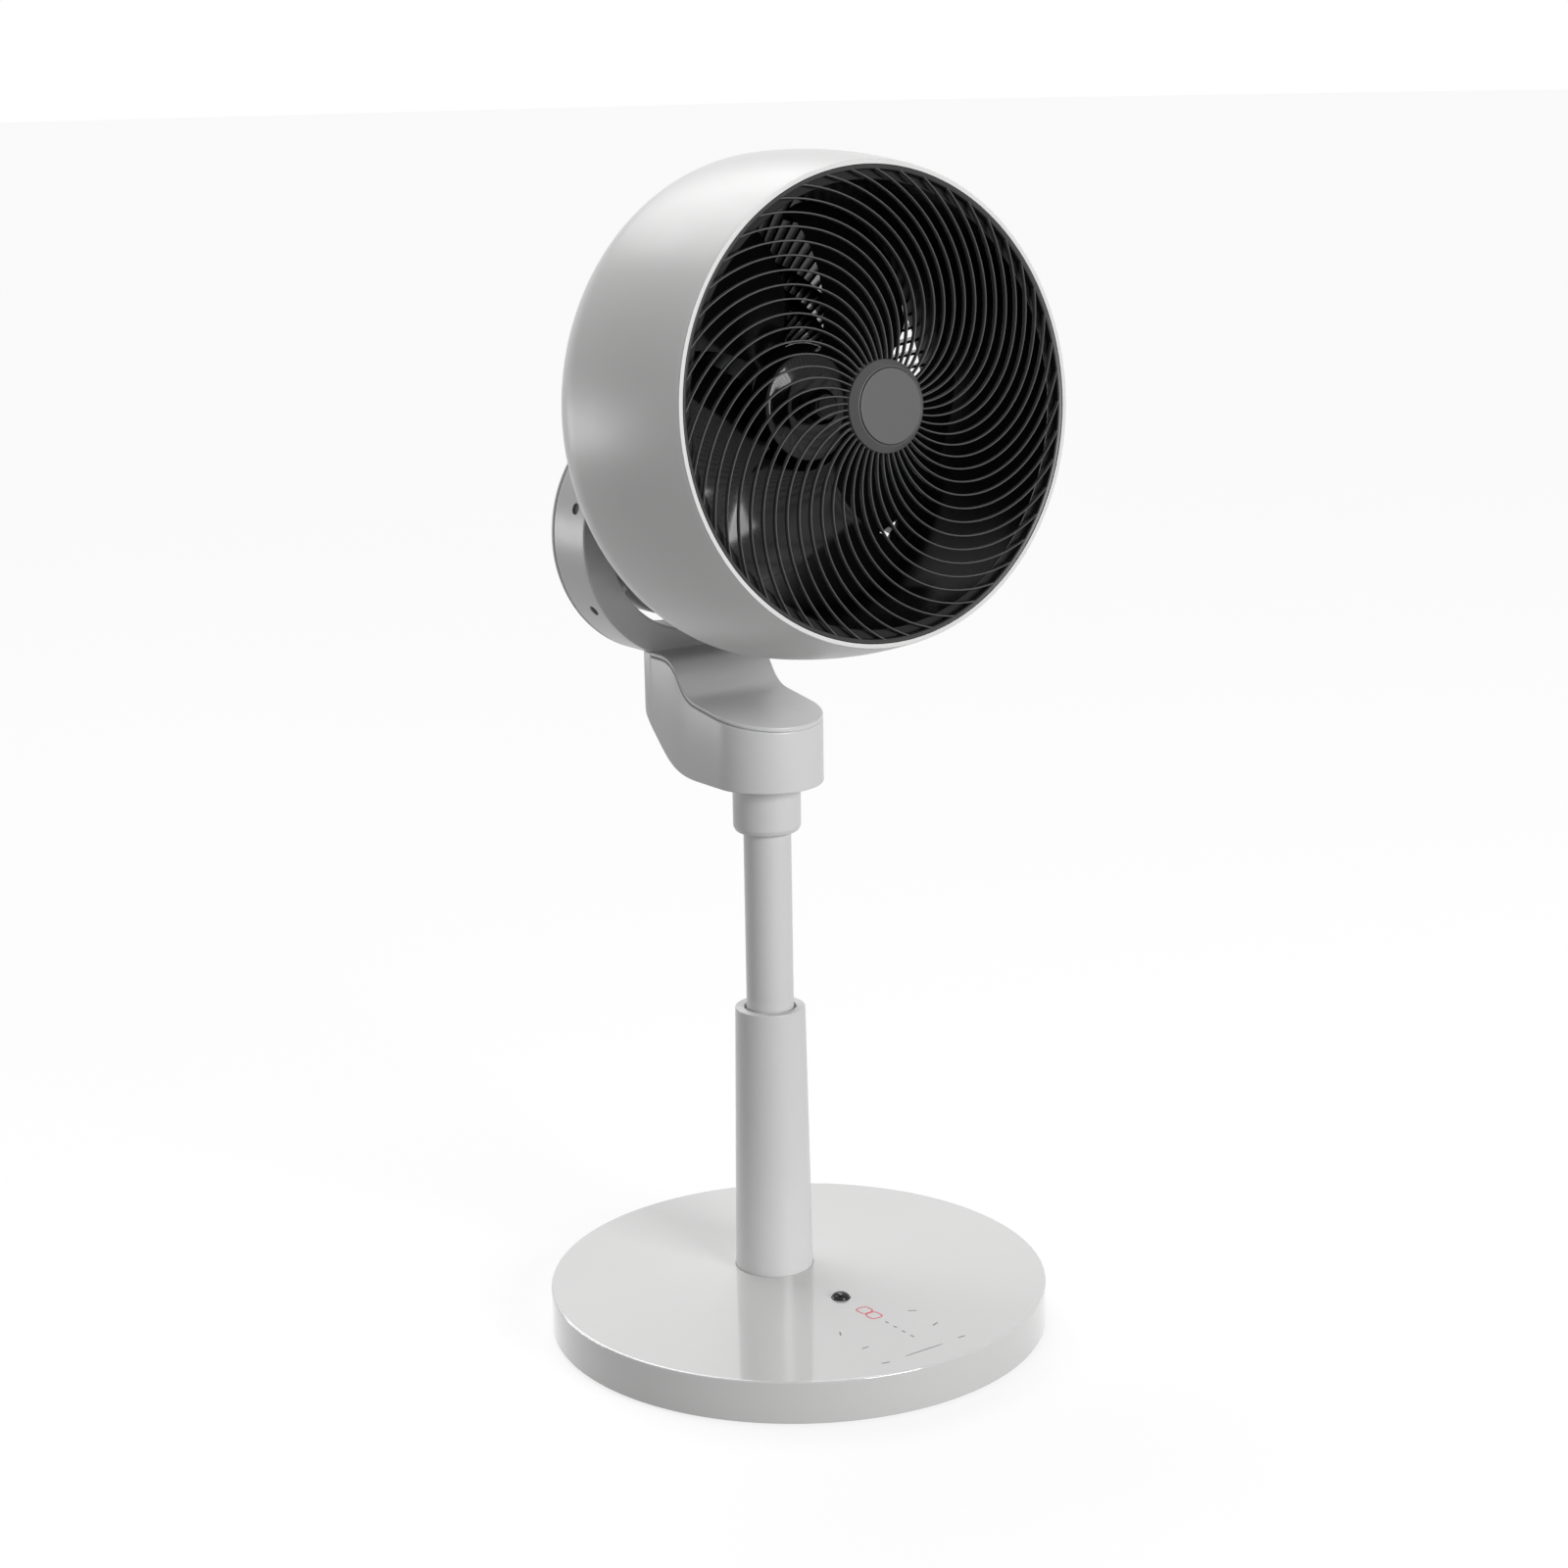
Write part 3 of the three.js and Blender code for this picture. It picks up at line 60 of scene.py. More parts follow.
RING_R, RING_BORE_R, RING_FRONT, RING_DEPTH, RING_EDGE, RING_WALL = 77.8, 59.6, 70, 37, 1.3, 3
RING_REAR = RING_FRONT + RING_DEPTH
RING_Z = NECK_Z + NECK_H + (RING_R ** 2 - NECK_R ** 2) ** 0.5
RIM_SCREW_BACK, RIM_SCREW_ANGLES, RIM_SCREW_R, RIM_SCREW_SUNK = 12, (14, -33.6), 3.2, 2.8
ARM_FOOT_W, ARM_FOOT_H = 44, 16
DRUM_R, DRUM_SETBACK, DRUM_WALL, DRUM_LUG_R, DRUM_COVER_T = 54, 6, 2.4, 4.5, 6
TILT_REACH, TILT_DROP, TILT_REST = 13, 13, 5.2
TILT_Y, TILT_Z = COLUMN_Y + RING_FRONT - TILT_REACH, RING_Z + RING_R - TILT_DROP
EAR_R, EAR_T, KNUCKLE_R, KNUCKLE_W, KNUCKLE_WEB = 10, 5.6, 10.5, 28, 18
EAR_SIDE = KNUCKLE_W / 2 + 0.55
TILT_MOTOR_R, TILT_MOTOR_L, PIVOT_CAP_R, PIVOT_CAP_T = 11, 20, 8, 4
HEAD_BACK, HEAD_RISE = 173, 9
GRILLE_R, SHELL_FRONT_R, SHELL_MAX_R, SHELL_MAX_BACK, SHELL_END, SHELL_REAR = 128.5, 131.3, 142.2, 88, 118, 160
LIP_DEPTH, DUCT_R, DUCT_WALL, DUCT_FLANGE, DUCT_FLANGE_T = 8, 121, 2.2, 4.5, 2.4
RIM_T, HUB_R, HUB_DOME, HUB_T, HUB_CONE, CAP_R, CAP_T = 4.4, 25.4, 4.2, 4, 4, 20.6, 1.4
CAP_FACE = -HUB_DOME - HUB_CONE - 0.5
RIBS, RIB_SWEEP, RIB_CURL, RIB_D, RIB_LIFT = 48, 65, 1.5, 3, 0.6
RIM_SHOWN, RIB_CREST = 2.4, 0.95
REAR_SLATS, REAR_SLAT_W, REAR_SLAT_D, REAR_RIM_L, REAR_SPIGOT_L = 96, 1.9, 15, 4, 7
REAR_RING_R, REAR_NARROW_R, REAR_RING_W, REAR_HUB_R, REAR_HUB_T = 85, 74, 2.4, 38, 4
REAR_FACE = SHELL_MAX_BACK + (SHELL_REAR - SHELL_MAX_BACK) * (1 - (REAR_HUB_R / SHELL_MAX_R) ** 2) ** 0.5
BRACKET_R, BRACKET_T = 30, 3
FAN_MOTOR_R, FAN_MOTOR_FRONT, FAN_BOSS_R, FAN_BOSS_L = 33, 118, 10, 6
FAN_HUB_R, FAN_HUB_FRONT, FAN_HUB_L, FAN_HUB_WALL = 36, 62, 44, 2.4
BLADES, BLADE_TIP_R, BLADE_T, BLADE_SPAN, BLADE_DEPTH, BLADE_LEAN = 5, 116, 2.2, (71.5, 67), (34, 30), 26
BLADE_START, BLADE_BOW, BLADE_ROUND_SHARE = 36, 0.35, 0.2
NUT_R, NUT_L, SHAFT_HOLE_R = 10, 12, 4.1
CUT_REACH = 9    # how far a hole's tool goes past a wall on each side
MERGED = 2e-7    # points nearer than this, in metres, are one


# ---- places: local (across, along the axis, up) to the row frame, in millimetres
def upright(middle_y=0.0):
    """The axis stands up at y = middle_y: (x, along, z) becomes (x, middle_y + z, along)."""
    return lambda p: np.stack([p[..., 0], middle_y + p[..., 2], p[..., 1]], -1)


def ring_axis(p):
    """The ring's axis runs backwards: (x, COLUMN_Y + along, RING_Z + z)."""
    return p + np.array([0, COLUMN_Y, RING_Z])


def hinge_axis(p):
    """The axis runs across at the tilt hinge: (along, TILT_Y + x, TILT_Z + z)."""
    return np.stack([p[..., 1], TILT_Y + p[..., 0], TILT_Z + p[..., 2]], -1)


def head_axis(p):
    """The grille plane is at 0 and the axis runs backwards, tipped up by the tilt at rest."""
    back, up = p[..., 1] - HEAD_BACK, p[..., 2] + HEAD_RISE
    c, s = np.cos(np.radians(TILT_REST)), np.sin(np.radians(TILT_REST))
    return np.stack([p[..., 0], TILT_Y + back * c + up * s, TILT_Z - back * s + up * c], -1)


# ---- surfaces
def grid_faces(rows, columns, close_rows=False, close_columns=True):
    """The quads between neighbouring rows and columns of points numbered row by row."""
    r = np.arange(rows if close_rows else rows - 1)[:, None]
    c = np.arange(columns if close_columns else columns - 1)[None, :]
    r2, c2 = (r + 1) % rows, (c + 1) % columns
    corners = [r * columns + c, r * columns + c2, r2 * columns + c2, r2 * columns + c]
    return np.stack(corners, -1).reshape(-1, 4)


def eased(profile, radius, steps=5):
    """Each corner p between a and b becomes (1-t)^2 a + 2t(1-t) p + t^2 b, with a point held on each side."""
    p = np.asarray(profile, float)
    back, ahead = np.roll(p, 1, 0) - p, np.roll(p, -1, 0) - p
    far = [np.linalg.norm(v, axis=1, keepdims=True) for v in (back, ahead)]
    reach = [v / d * np.minimum(radius, 0.4 * d) for v, d in zip((back, ahead), far)]
    held = [v / d * np.minimum(2 * radius, 0.47 * d) for v, d in zip((back, ahead), far)]
    t = np.linspace(0, 1, steps)[None, :, None]
    a, b = (p + reach[0])[:, None], (p + reach[1])[:, None]
    curve = (1 - t) ** 2 * a + 2 * t * (1 - t) * p[:, None] + t ** 2 * b
    rows = np.concatenate([(p + held[0])[:, None], curve, (p + held[1])[:, None]], 1)
    if p[0, 0] == 0 and p[-1, 0] == 0:
        return np.concatenate([p[:1], rows[1:-1].reshape(-1, 2), p[-1:]])
    return rows.reshape(-1, 2)


def turned(profile, place, sides=160):
    """Each profile point (r, along) goes once round the axis: (r cos a, along, r sin a)."""
    profile = np.asarray(profile, float)
    a = np.linspace(0, 2 * np.pi, sides, endpoint=False)
    r, along = profile[:, :1], profile[:, 1:]
    grid = np.stack([r * np.cos(a), along + 0 * a, r * np.sin(a)], -1)
    on_axis = profile[0, 0] == 0 and profile[-1, 0] == 0
    return place(grid.reshape(-1, 3)), grid_faces(len(profile), sides, close_rows=not on_axis)


def slab(outline, low, high, place, edge=0.5):
    """An outline (u, v) in rows from low to high: its middle, set in, full, full, set in, its middle."""
    outline = np.asarray(outline, float)
    step = np.roll(outline, -1, 0) - np.roll(outline, 1, 0)
    outward = np.stack([step[:, 1], -step[:, 0]], -1) / np.linalg.norm(step, axis=1, keepdims=True)
    inset = outline - edge * outward
    middle = np.broadcast_to(outline.mean(0), outline.shape)
    rows = [(middle, low), (inset, low), (outline, low + edge),
            (outline, high - edge), (inset, high), (middle, high)]
    grid = np.stack([np.stack([o[:, 0], np.full(len(o), h), o[:, 1]], -1) for o, h in rows])
    return place(grid.reshape(-1, 3)), grid_faces(len(rows), len(outline))


def swept(path, side, out, width, depth, points=10):
    """A rounded bar on each path: path + side * width/2 * cos a + out * depth/2 * (1 + sin a), blunted."""
    a = np.linspace(0, 2 * np.pi, points, endpoint=False)
    blunt = np.stack([np.cos(a), np.sin(a)]) / np.maximum(np.abs(np.cos(a)), np.abs(np.sin(a))) ** 0.6
    section = side[..., None, :] * (width / 2 * blunt[0])[:, None] + out * (depth / 2 * (1 + blunt[1]))[:, None]
    grid = path[..., None, :] + section
    middle = np.broadcast_to(path[..., None, :] + out * depth / 2, grid.shape)
    grid = np.concatenate([middle[:, :1], grid, middle[:, -1:]], 1)
    count, rows = grid.shape[:2]
    one = grid_faces(rows, points)
    faces = (one[None] + (np.arange(count) * rows * points)[:, None, None]).reshape(-1, 4)
    return grid.reshape(-1, 3), faces


def together(*shells):
    """Several shells as one list of points and faces."""
    starts = np.cumsum([0] + [len(p) for p, _ in shells[:-1]])
    return np.concatenate([p for p, _ in shells]), np.concatenate([f + s for (_, f), s in zip(shells, starts)])


def close_up(mesh):
    """Points that lie together become one, and every face is turned outwards."""
    made = bmesh.new()
    made.from_mesh(mesh)
    bmesh.ops.remove_doubles(made, verts=made.verts, dist=MERGED)
    bmesh.ops.recalc_face_normals(made, faces=made.faces)
    made.to_mesh(mesh)
    made.free()


def piece(name, shell, body, material, hides=(), sharp=38):
    """Points and quads put in a mesh in metres and closed up, with edges over `sharp` degrees kept."""
    points, faces = shell
    mesh = bpy.data.meshes.new(name)
    mesh.vertices.add(len(points))
    mesh.vertices.foreach_set("co", (points * MM).astype(np.float32).ravel())
    mesh.loops.add(faces.size)
    mesh.loops.foreach_set("vertex_index", faces.astype(np.int32).ravel())
    mesh.polygons.add(len(faces))
    mesh.polygons.foreach_set("loop_start", np.arange(0, faces.size, 4, dtype=np.int32))
    mesh.update(calc_edges=True)
    close_up(mesh)
    mesh.shade_smooth()
    mesh.set_sharp_from_angle(angle=np.radians(sharp))
    mesh.materials.append(material)
    thing = bpy.data.objects.new(name, mesh)
    bpy.context.scene.collection.objects.link(thing)
    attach(thing, body)
    if hides:
        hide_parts(*hides)
    return thing


def cut_away(thing, *shells, sharp=38):
    """The piece less each shell, by one exact difference after another, with the result kept as its mesh."""
    for shell in shells:
        tool_mesh = bpy.data.meshes.new("tool")
        points, faces = shell
        tool_mesh.from_pydata((points * MM).tolist(), [], faces.tolist())
        close_up(tool_mesh)
        tool = bpy.data.objects.new("tool", tool_mesh)
        bpy.context.scene.collection.objects.link(tool)
        change = thing.modifiers.new("cut", "BOOLEAN")
        change.operation, change.solver, change.object = "DIFFERENCE", "EXACT", tool
        solved = thing.evaluated_get(bpy.context.evaluated_depsgraph_get())
        thing.data = bpy.data.meshes.new_from_object(solved)
        thing.modifiers.clear()
        bpy.data.objects.remove(tool)
    thing.data.shade_smooth()
    thing.data.set_sharp_from_angle(angle=np.radians(sharp))
    return thing


# ---- materials
def finish(name, colour, roughness, metallic=0.0, grain=900, depth=0.00002, mottle=0.04, coat=0.0, stretch=None,
           specular=0.5):
    """A moulded or metal finish: slow mottling of the colour, uneven gloss and a fine grain in the surface."""
    material = bpy.data.materials.new(name)
    material.use_nodes = True
    nodes, links = material.node_tree.nodes, material.node_tree.links
    shader = nodes["Principled BSDF"]
    shader.inputs["Metallic"].default_value = metallic
    shader.inputs["Coat Weight"].default_value = coat
    shader.inputs["Coat Roughness"].default_value = 0.05
    shader.inputs["Coat IOR"].default_value = 2.0
    shader.inputs["Specular IOR Level"].default_value = specular
    place = nodes.new("ShaderNodeTexCoord")
    mapping = nodes.new("ShaderNodeMapping")
    mapping.inputs["Scale"].default_value = stretch or (1, 1, 1)
    links.new(place.outputs["Object"], mapping.inputs["Vector"])

    def noise(scale, detail):
        made = nodes.new("ShaderNodeTexNoise")
        made.inputs["Scale"].default_value = scale
        made.inputs["Detail"].default_value = detail
        links.new(mapping.outputs["Vector"], made.inputs["Vector"])
        return made.outputs["Fac"]

    slow, fine = noise(14, 3), noise(grain, 2)
    tint = nodes.new("ShaderNodeMix")
    tint.data_type = "RGBA"
    tint.inputs["A"].default_value = (*[c * (1 - mottle) for c in colour], 1)
    tint.inputs["B"].default_value = (*[min(1, c * (1 + mottle)) for c in colour], 1)
    links.new(slow, tint.inputs["Factor"])
    links.new(tint.outputs["Result"], shader.inputs["Base Color"])
    gloss = nodes.new("ShaderNodeMapRange")
    gloss.inputs["To Min"].default_value = roughness * 0.85
    gloss.inputs["To Max"].default_value = roughness * 1.15
    links.new(noise(60, 4), gloss.inputs["Value"])
    links.new(gloss.outputs["Result"], shader.inputs["Roughness"])
    bump = nodes.new("ShaderNodeBump")
    bump.inputs["Strength"].default_value = 0.5
    bump.inputs["Distance"].default_value = depth
    links.new(fine, bump.inputs["Height"])
    links.new(bump.outputs["Normal"], shader.inputs["Normal"])
    return material


SHELL = finish("shell_satin", (0.72, 0.72, 0.715), 0.34)
COVER = finish("base_gloss", (0.62, 0.62, 0.615), 0.16, mottle=0.02, coat=1.0)
COLUMN = finish("column_satin", (0.66, 0.665, 0.66), 0.32)
DUCT = finish("duct_black", (0.005, 0.005, 0.0055), 0.22, mottle=0.1, specular=0.25)
GLOSS = finish("blade_black", (0.0025, 0.0025, 0.003), 0.1, grain=300, depth=0.000008, specular=0.35)
RIM = finish("rim_black", (0.012, 0.012, 0.0125), 0.35, mottle=0.1)
RIB = finish("rib_grey", (0.095, 0.095, 0.095), 0.34)
HUB = finish("hub_grey", (0.07, 0.07, 0.071), 0.4)
CAP = finish("cap_grey", (0.078, 0.078, 0.079), 0.5)
STEEL = finish("steel", (0.42, 0.43, 0.44), 0.32, metallic=1.0, stretch=(1, 1, 12))
SCREW = finish("screw_black", (0.012, 0.012, 0.013), 0.5, metallic=0.3)
RUBBER = finish("foot_rubber", (0.018, 0.018, 0.018), 0.85, depth=0.00006)
BOARD = finish("board_lacquer", (0.012, 0.1, 0.042), 0.3)
ACETAL = finish("acetal", (0.8, 0.78, 0.7), 0.45)
MARK = finish("panel_print", (0.2, 0.2, 0.21), 0.4)
GLOW = finish("display_red", (0.75, 0.045, 0.08), 0.4)
slots = {
    "white_shell": COVER, "pale_column": COLUMN, "duct_black": DUCT, "gloss_black": GLOSS, "rib_grey": RIB,
    "cap_grey": CAP, "steel": STEEL, "screw_dark": SCREW, "rubber": RUBBER, "board_green": BOARD,
    "gear_white": ACETAL,
}
node_slot = {entry["node"]: entry["material_slot"] for entry in frame["record"]["subparts"]}
for node, solid in frame["nodes"].items():
    solid.data.materials.clear()
    solid.data.materials.append(slots[node_slot[node]])


# ---- camera
def camera():
    """The photograph's view, fitted to it: from the front left and above, aimed down by the dip."""
    place, turn, dip, roll = (-970.3, -1353.5, 746.8), 35.494, 13.902, -0.903
    sensor = 36
    focal = 3000 / 1600 * sensor
    a, b, c = np.radians([turn, dip, roll])
    ahead = np.array([np.sin(a) * np.cos(b), np.cos(a) * np.cos(b), -np.sin(b)])
    level = np.array([np.cos(a), -np.sin(a), 0])
    above = np.cross(level, ahead)
    right = level * np.cos(c) + above * np.sin(c)
    up = above * np.cos(c) - level * np.sin(c)
    lens = bpy.data.cameras.new("camera")
    lens.sensor_width, lens.lens, lens.clip_end = sensor, focal, 50
    thing = bpy.data.objects.new("camera", lens)
    turned_so = Matrix((right, up, -ahead)).transposed().to_4x4()
    thing.matrix_world = Matrix.Translation(Vector(place) * MM) @ turned_so
    bpy.context.scene.collection.objects.link(thing)
    bpy.context.scene.camera = thing


# ---- base
def base():
    """The round cover with its sockets cut, the receiver's window and the inlet."""
    cover_profile = [(0, BASE_TOP), (BASE_R, BASE_TOP), (BASE_R, FOOT_PROUD), (BASE_R - WALL, FOOT_PROUD),
                     (BASE_R - WALL, BASE_TOP - WALL), (0, BASE_TOP - WALL)]
    shape = eased(cover_profile, 0.6)
    rim = np.radians(np.linspace(90, 0, 12))
    bend = np.stack([BASE_R - COVER_EDGE + COVER_EDGE * np.cos(rim),
                     BASE_TOP - COVER_EDGE + COVER_EDGE * np.sin(rim)], -1)
    below_the_rim = shape[8:]
    shape = np.concatenate([[(0, BASE_TOP), (BASE_R - 2 * COVER_EDGE, BASE_TOP)], bend,
                            [(BASE_R, BASE_TOP - 2 * COVER_EDGE)], below_the_rim])
    cover = piece("base_top", turned(shape, upright(), 256), "base", COVER, ["base_cover"])
    inlet_axis = lambda p: p + np.array([0, 0, INLET_Z])

    def hole(radius, wall, place, sides):
        """A round bar that goes through the wall, CUT_REACH past it on each side."""
        low, high = wall - CUT_REACH, wall + CUT_REACH
        return turned([(0, low), (radius, low), (radius, high), (0, high)], place, sides)

    cut_away(cover, hole(LOWER_FOOT_R + GAP, BASE_TOP, upright(COLUMN_Y), 96),
             hole(LENS_R + GAP, BASE_TOP, upright(COLUMN_Y - LENS_FORWARD), 96),
             hole(INLET_R + GAP, BASE_R, inlet_axis, 64))

    dome = np.radians(np.linspace(90, 0, 16))
    lens = np.stack([LENS_R * np.sin(dome), BASE_TOP + LENS_PROUD * np.cos(dome)], -1)
    lens = np.concatenate([[(0, BASE_TOP - WALL), (LENS_R, BASE_TOP - WALL)], lens])
    piece("receiver_window", turned(lens, upright(COLUMN_Y - LENS_FORWARD), 64), "base", GLOSS,
          ["receiver_lens"])
    inlet = eased([(0, BASE_R - INLET_L), (INLET_R, BASE_R - INLET_L), (INLET_R, BASE_R - 0.5),
                   (INLET_BORE_R, BASE_R - 0.5), (INLET_BORE_R, BASE_R - INLET_L + 3),
                   (0, BASE_R - INLET_L + 3)], 0.5)
    piece("inlet_socket", turned(inlet, inlet_axis, 64), "base", DUCT, ["power_inlet"])


def panel():
    """Printed marks, MARK_PROUD high: strokes are long ovals, and the display is two ringed cells."""
    top = BASE_TOP + MARK_PROUD
    round_the = np.linspace(0, 2 * np.pi, 33)[:-1]

    def oval(middle, half_long, half_wide, turn):
        """A stroke (half_long cos a, half_wide sin a), blunted at its ends and turned in the panel's plane."""
        c, s = np.cos(round_the), np.sin(round_the)
        u, v = half_long * np.sign(c) * np.abs(c) ** 0.6, half_wide * np.sign(s) * np.abs(s) ** 0.6
        t = np.radians(turn)
        return np.stack([middle[0] + u * np.cos(t) - v * np.sin(t),
                         middle[1] + u * np.sin(t) + v * np.cos(t)], -1)

    def stroke(middle, half_long, half_wide=0.5, turn=0.0):
        """An oval made solid between the cover and the marks' top."""
        return slab(oval(middle, half_long, half_wide, turn), BASE_TOP, top, upright(COLUMN_Y), 0.02)

    def ringed(middle, half_long, half_wide, line):
        """A closed band between an oval and the same oval drawn in by the line's width."""
        out, inn = oval(middle, half_long, half_wide, 0), oval(middle, half_long - line, half_wide - line, 0)
        rows = [(inn, BASE_TOP), (out, BASE_TOP), (out, top), (inn, top)]
        grid = np.stack([np.stack([o[:, 0], np.full(len(o), h), o[:, 1]], -1) for o, h in rows])
        return upright(COLUMN_Y)(grid.reshape(-1, 3)), grid_faces(4, 32, close_rows=True)

    key_places = ((-31, 109, 60), (-31, 133, 0), (22, 109, -30), (21, 132, 20), (22, 155, 0), (-34, 156, -15))
    row = [stroke((0, -y), 1.6, turn=90) for y in (113, 121, 129, 137)]
    keys = [stroke((x, -y), 2.6, turn=turn) for x, y, turn in key_places]
    slider = [stroke((-6, -156), 13.5, 0.4)]
    piece("panel_marks", together(*row, *keys, *slider), "base", MARK)
    cell_long, cell_wide, cell_line = 4.4, 4.6, 0.8
    cells = [ringed((0, -DISPLAY_FORWARD + shift), cell_long, cell_wide, cell_line)
             for shift in (-cell_wide, cell_wide)]
    piece("display_marks", together(*cells), "base", GLOW)


# ---- column
def column():
    """Two tubes and the collar, each turned about the column's axis."""
    up = upright(COLUMN_Y)
    foot, lip = SOCKET_FLOOR_Z, LOWER_TOP - LOWER_LIP_T
    lower = eased([(BOLT_HOLE_R, foot), (LOWER_FOOT_R, foot), (LOWER_FOOT_R, BASE_TOP), (LOWER_TOP_R, LOWER_TOP),
                   (LOWER_LIP_R, LOWER_TOP), (LOWER_LIP_R, lip), (LOWER_BORE_R, lip),
                   (LOWER_BORE_R, foot + WALL), (BOLT_HOLE_R, foot + WALL)], 0.7)
    piece("lower_column", turned(lower, up), "base", COLUMN, ["lower_tube"])
    foot = LOWER_TOP - UPPER_HELD
    head = COLLAR_Z + COLLAR_SEAT
    bore = UPPER_R - UPPER_WALL
    upper = eased([(bore, foot), (UPPER_R, foot), (UPPER_R, head), (bore, head)], 0.4)
    piece("upper_column", turned(upper, up), "column", COLUMN, ["upper_tube"])
    seat = COLLAR_Z + COLLAR_SEAT + GAP
    collar = eased([(UPPER_R + GAP, COLLAR_Z), (COLLAR_R - COLLAR_CHAMFER, COLLAR_Z),
                    (COLLAR_R - COLLAR_CHAMFER / 3, COLLAR_Z + COLLAR_CHAMFER / 3),
                    (COLLAR_R, COLLAR_Z + COLLAR_CHAMFER), (COLLAR_R, COLLAR_TOP), (SPIGOT_R, COLLAR_TOP),
                    (SPIGOT_R, COLLAR_TOP + SPIGOT_H), (SPIGOT_BORE_R, COLLAR_TOP + SPIGOT_H),
                    (SPIGOT_BORE_R, seat), (UPPER_R + GAP, seat)], 0.6)
    piece("column_collar", turned(collar, up), "column", COLUMN, ["neck_collar"])


# ---- neck
def bezier(a, b, c, d, steps=24):
    """(1-t)^3 a + 3t(1-t)^2 b + 3t^2(1-t) c + t^3 d."""
    t = np.linspace(0, 1, steps)[:, None]
    a, b, c, d = map(np.array, (a, b, c, d))
    return (1 - t) ** 3 * a + 3 * t * (1 - t) ** 2 * b + 3 * t ** 2 * (1 - t) * c + t ** 3 * d


def keel_height(y):
    """The underside: flat to KEEL, then two curves up to the back's upright."""
    rise = bezier((KEEL, 0), (KEEL + 24, 0), (KEEL + 30, 8), (HULL_Y, HULL_Z))
    stern = bezier((HULL_Y, HULL_Z), (HULL_Y + 9, HULL_Z + 9), (NECK_BACK, HULL_Z + 16), (NECK_BACK, HULL_TOP_Z))
    line = np.concatenate([[(-NECK_R, 0)], rise, stern[1:]])
    return np.interp(y, line[:, 0], line[:, 1])


def lid_height(y):
    """The top: a slope up the nose, one sweeping curve to the shelf, and the shelf."""
    nose = np.array([(-NECK_R, NOSE_H), (STEP_Y - 10, NOSE_BACK_H)])
    sweep = bezier((STEP_Y - 10, NOSE_BACK_H), (STEP_Y + 10, NOSE_BACK_H + 3.5), (STEP_Y + 4, NECK_H),
                   (SHELF_Y, NECK_H), 40)
    line = np.concatenate([nose, sweep[1:], [(NECK_BACK, NECK_H)]])
    return np.interp(y, line[:, 0], line[:, 1])


def half_width(y):
    """The plan: a half circle for the nose, straight sides, and small round corners at the back."""
    nose = np.sqrt(np.clip(NECK_R ** 2 - np.clip(y, -NECK_R, 0) ** 2, 0, None))
    turn = np.clip(y - (NECK_BACK - NECK_CORNER), 0, NECK_CORNER)
    return nose - NECK_CORNER + np.sqrt(np.clip(NECK_CORNER ** 2 - turn ** 2, 0, None))


def hull(stations, low, high, edge):
    """A section at each station: a rectangle half_width wide from low to high, its four corners rounded."""
    w = half_width(stations)
    r = np.minimum(np.minimum(edge, 0.45 * w), 0.45 * (high - low))[:, None]
    a = np.radians(np.linspace(0, 90, 6))
    corners = []
    for turn, sx, top in ((0, 1, True), (90, -1, True), (180, -1, False), (270, 1, False)):
        b = a + np.radians(turn)
        x = sx * (w[:, None] - r) + r * np.cos(b)
        z = np.where(top, high[:, None] - r, low[:, None] + r) + r * np.sin(b)
        corners.append(np.stack([x, np.broadcast_to(stations[:, None], x.shape), z], -1))
    sections = np.concatenate(corners, 1)
    ends = [np.broadcast_to(sections[i].mean(0), sections[i].shape)[None] for i in (0, -1)]
    return np.concatenate([ends[0], sections, ends[1]])


def neck():
    """Hull and lid of the neck; behind the lid the hull's top is hollowed to the ring's round."""
    nose = -NECK_R * np.cos(np.radians(np.linspace(0, 90, 40)))
    straight = np.linspace(0, NECK_BACK - NECK_CORNER, 76)[1:]
    stern = NECK_BACK - NECK_CORNER + NECK_CORNER * np.sin(np.radians(np.linspace(0, 90, 12)))[1:]
    everywhere = np.concatenate([nose, straight, stern])
    to_row = lambda g: (g + np.array([0, COLUMN_Y, NECK_Z])).reshape(-1, 3)

    seam = lid_height(everywhere) - LID_T - GAP
    body = hull(everywhere, keel_height(everywhere), np.where(everywhere > RING_FRONT - GAP, NECK_H, seam), 1.2)
    behind = body[..., 1] > RING_FRONT - 2 * GAP
    ring_under = RING_Z - NECK_Z - np.sqrt((RING_R + GAP) ** 2 - body[..., 0] ** 2)
    body[..., 2] = np.where(behind, np.minimum(body[..., 2], ring_under), body[..., 2])
    piece("neck_body", (to_row(body), grid_faces(len(body), body.shape[1])), "arm", COLUMN,
          ["neck_housing"])

    along = everywhere[everywhere < RING_FRONT - GAP]
    along = np.append(along, RING_FRONT - GAP)
    top = lid_height(along)
    lid = hull(along, top - LID_T, top, 1.0)
    piece("neck_cover", (to_row(lid), grid_faces(len(lid), lid.shape[1])), "arm", COLUMN,
          ["neck_lid"])


# ---- ring arm, drum and hinge
def rim_bar(radius, low, high, side, angle, sides=32):
    """A round bar along the ring's radius at one rim screw."""
    a = np.radians(angle)
    out = np.array([side * np.cos(a), 0, np.sin(a)])
    cross = np.array([-side * np.sin(a), 0, np.cos(a)])

    def place(p):
        spot = p[..., 1:2] * out + p[..., 0:1] * cross + p[..., 2:3] * np.array([0, 1, 0])
        return ring_axis(spot + np.array([0, RING_FRONT + RIM_SCREW_BACK, 0]))

    return turned([(0, low), (radius, low), (radius, high), (0, high)], place, sides)


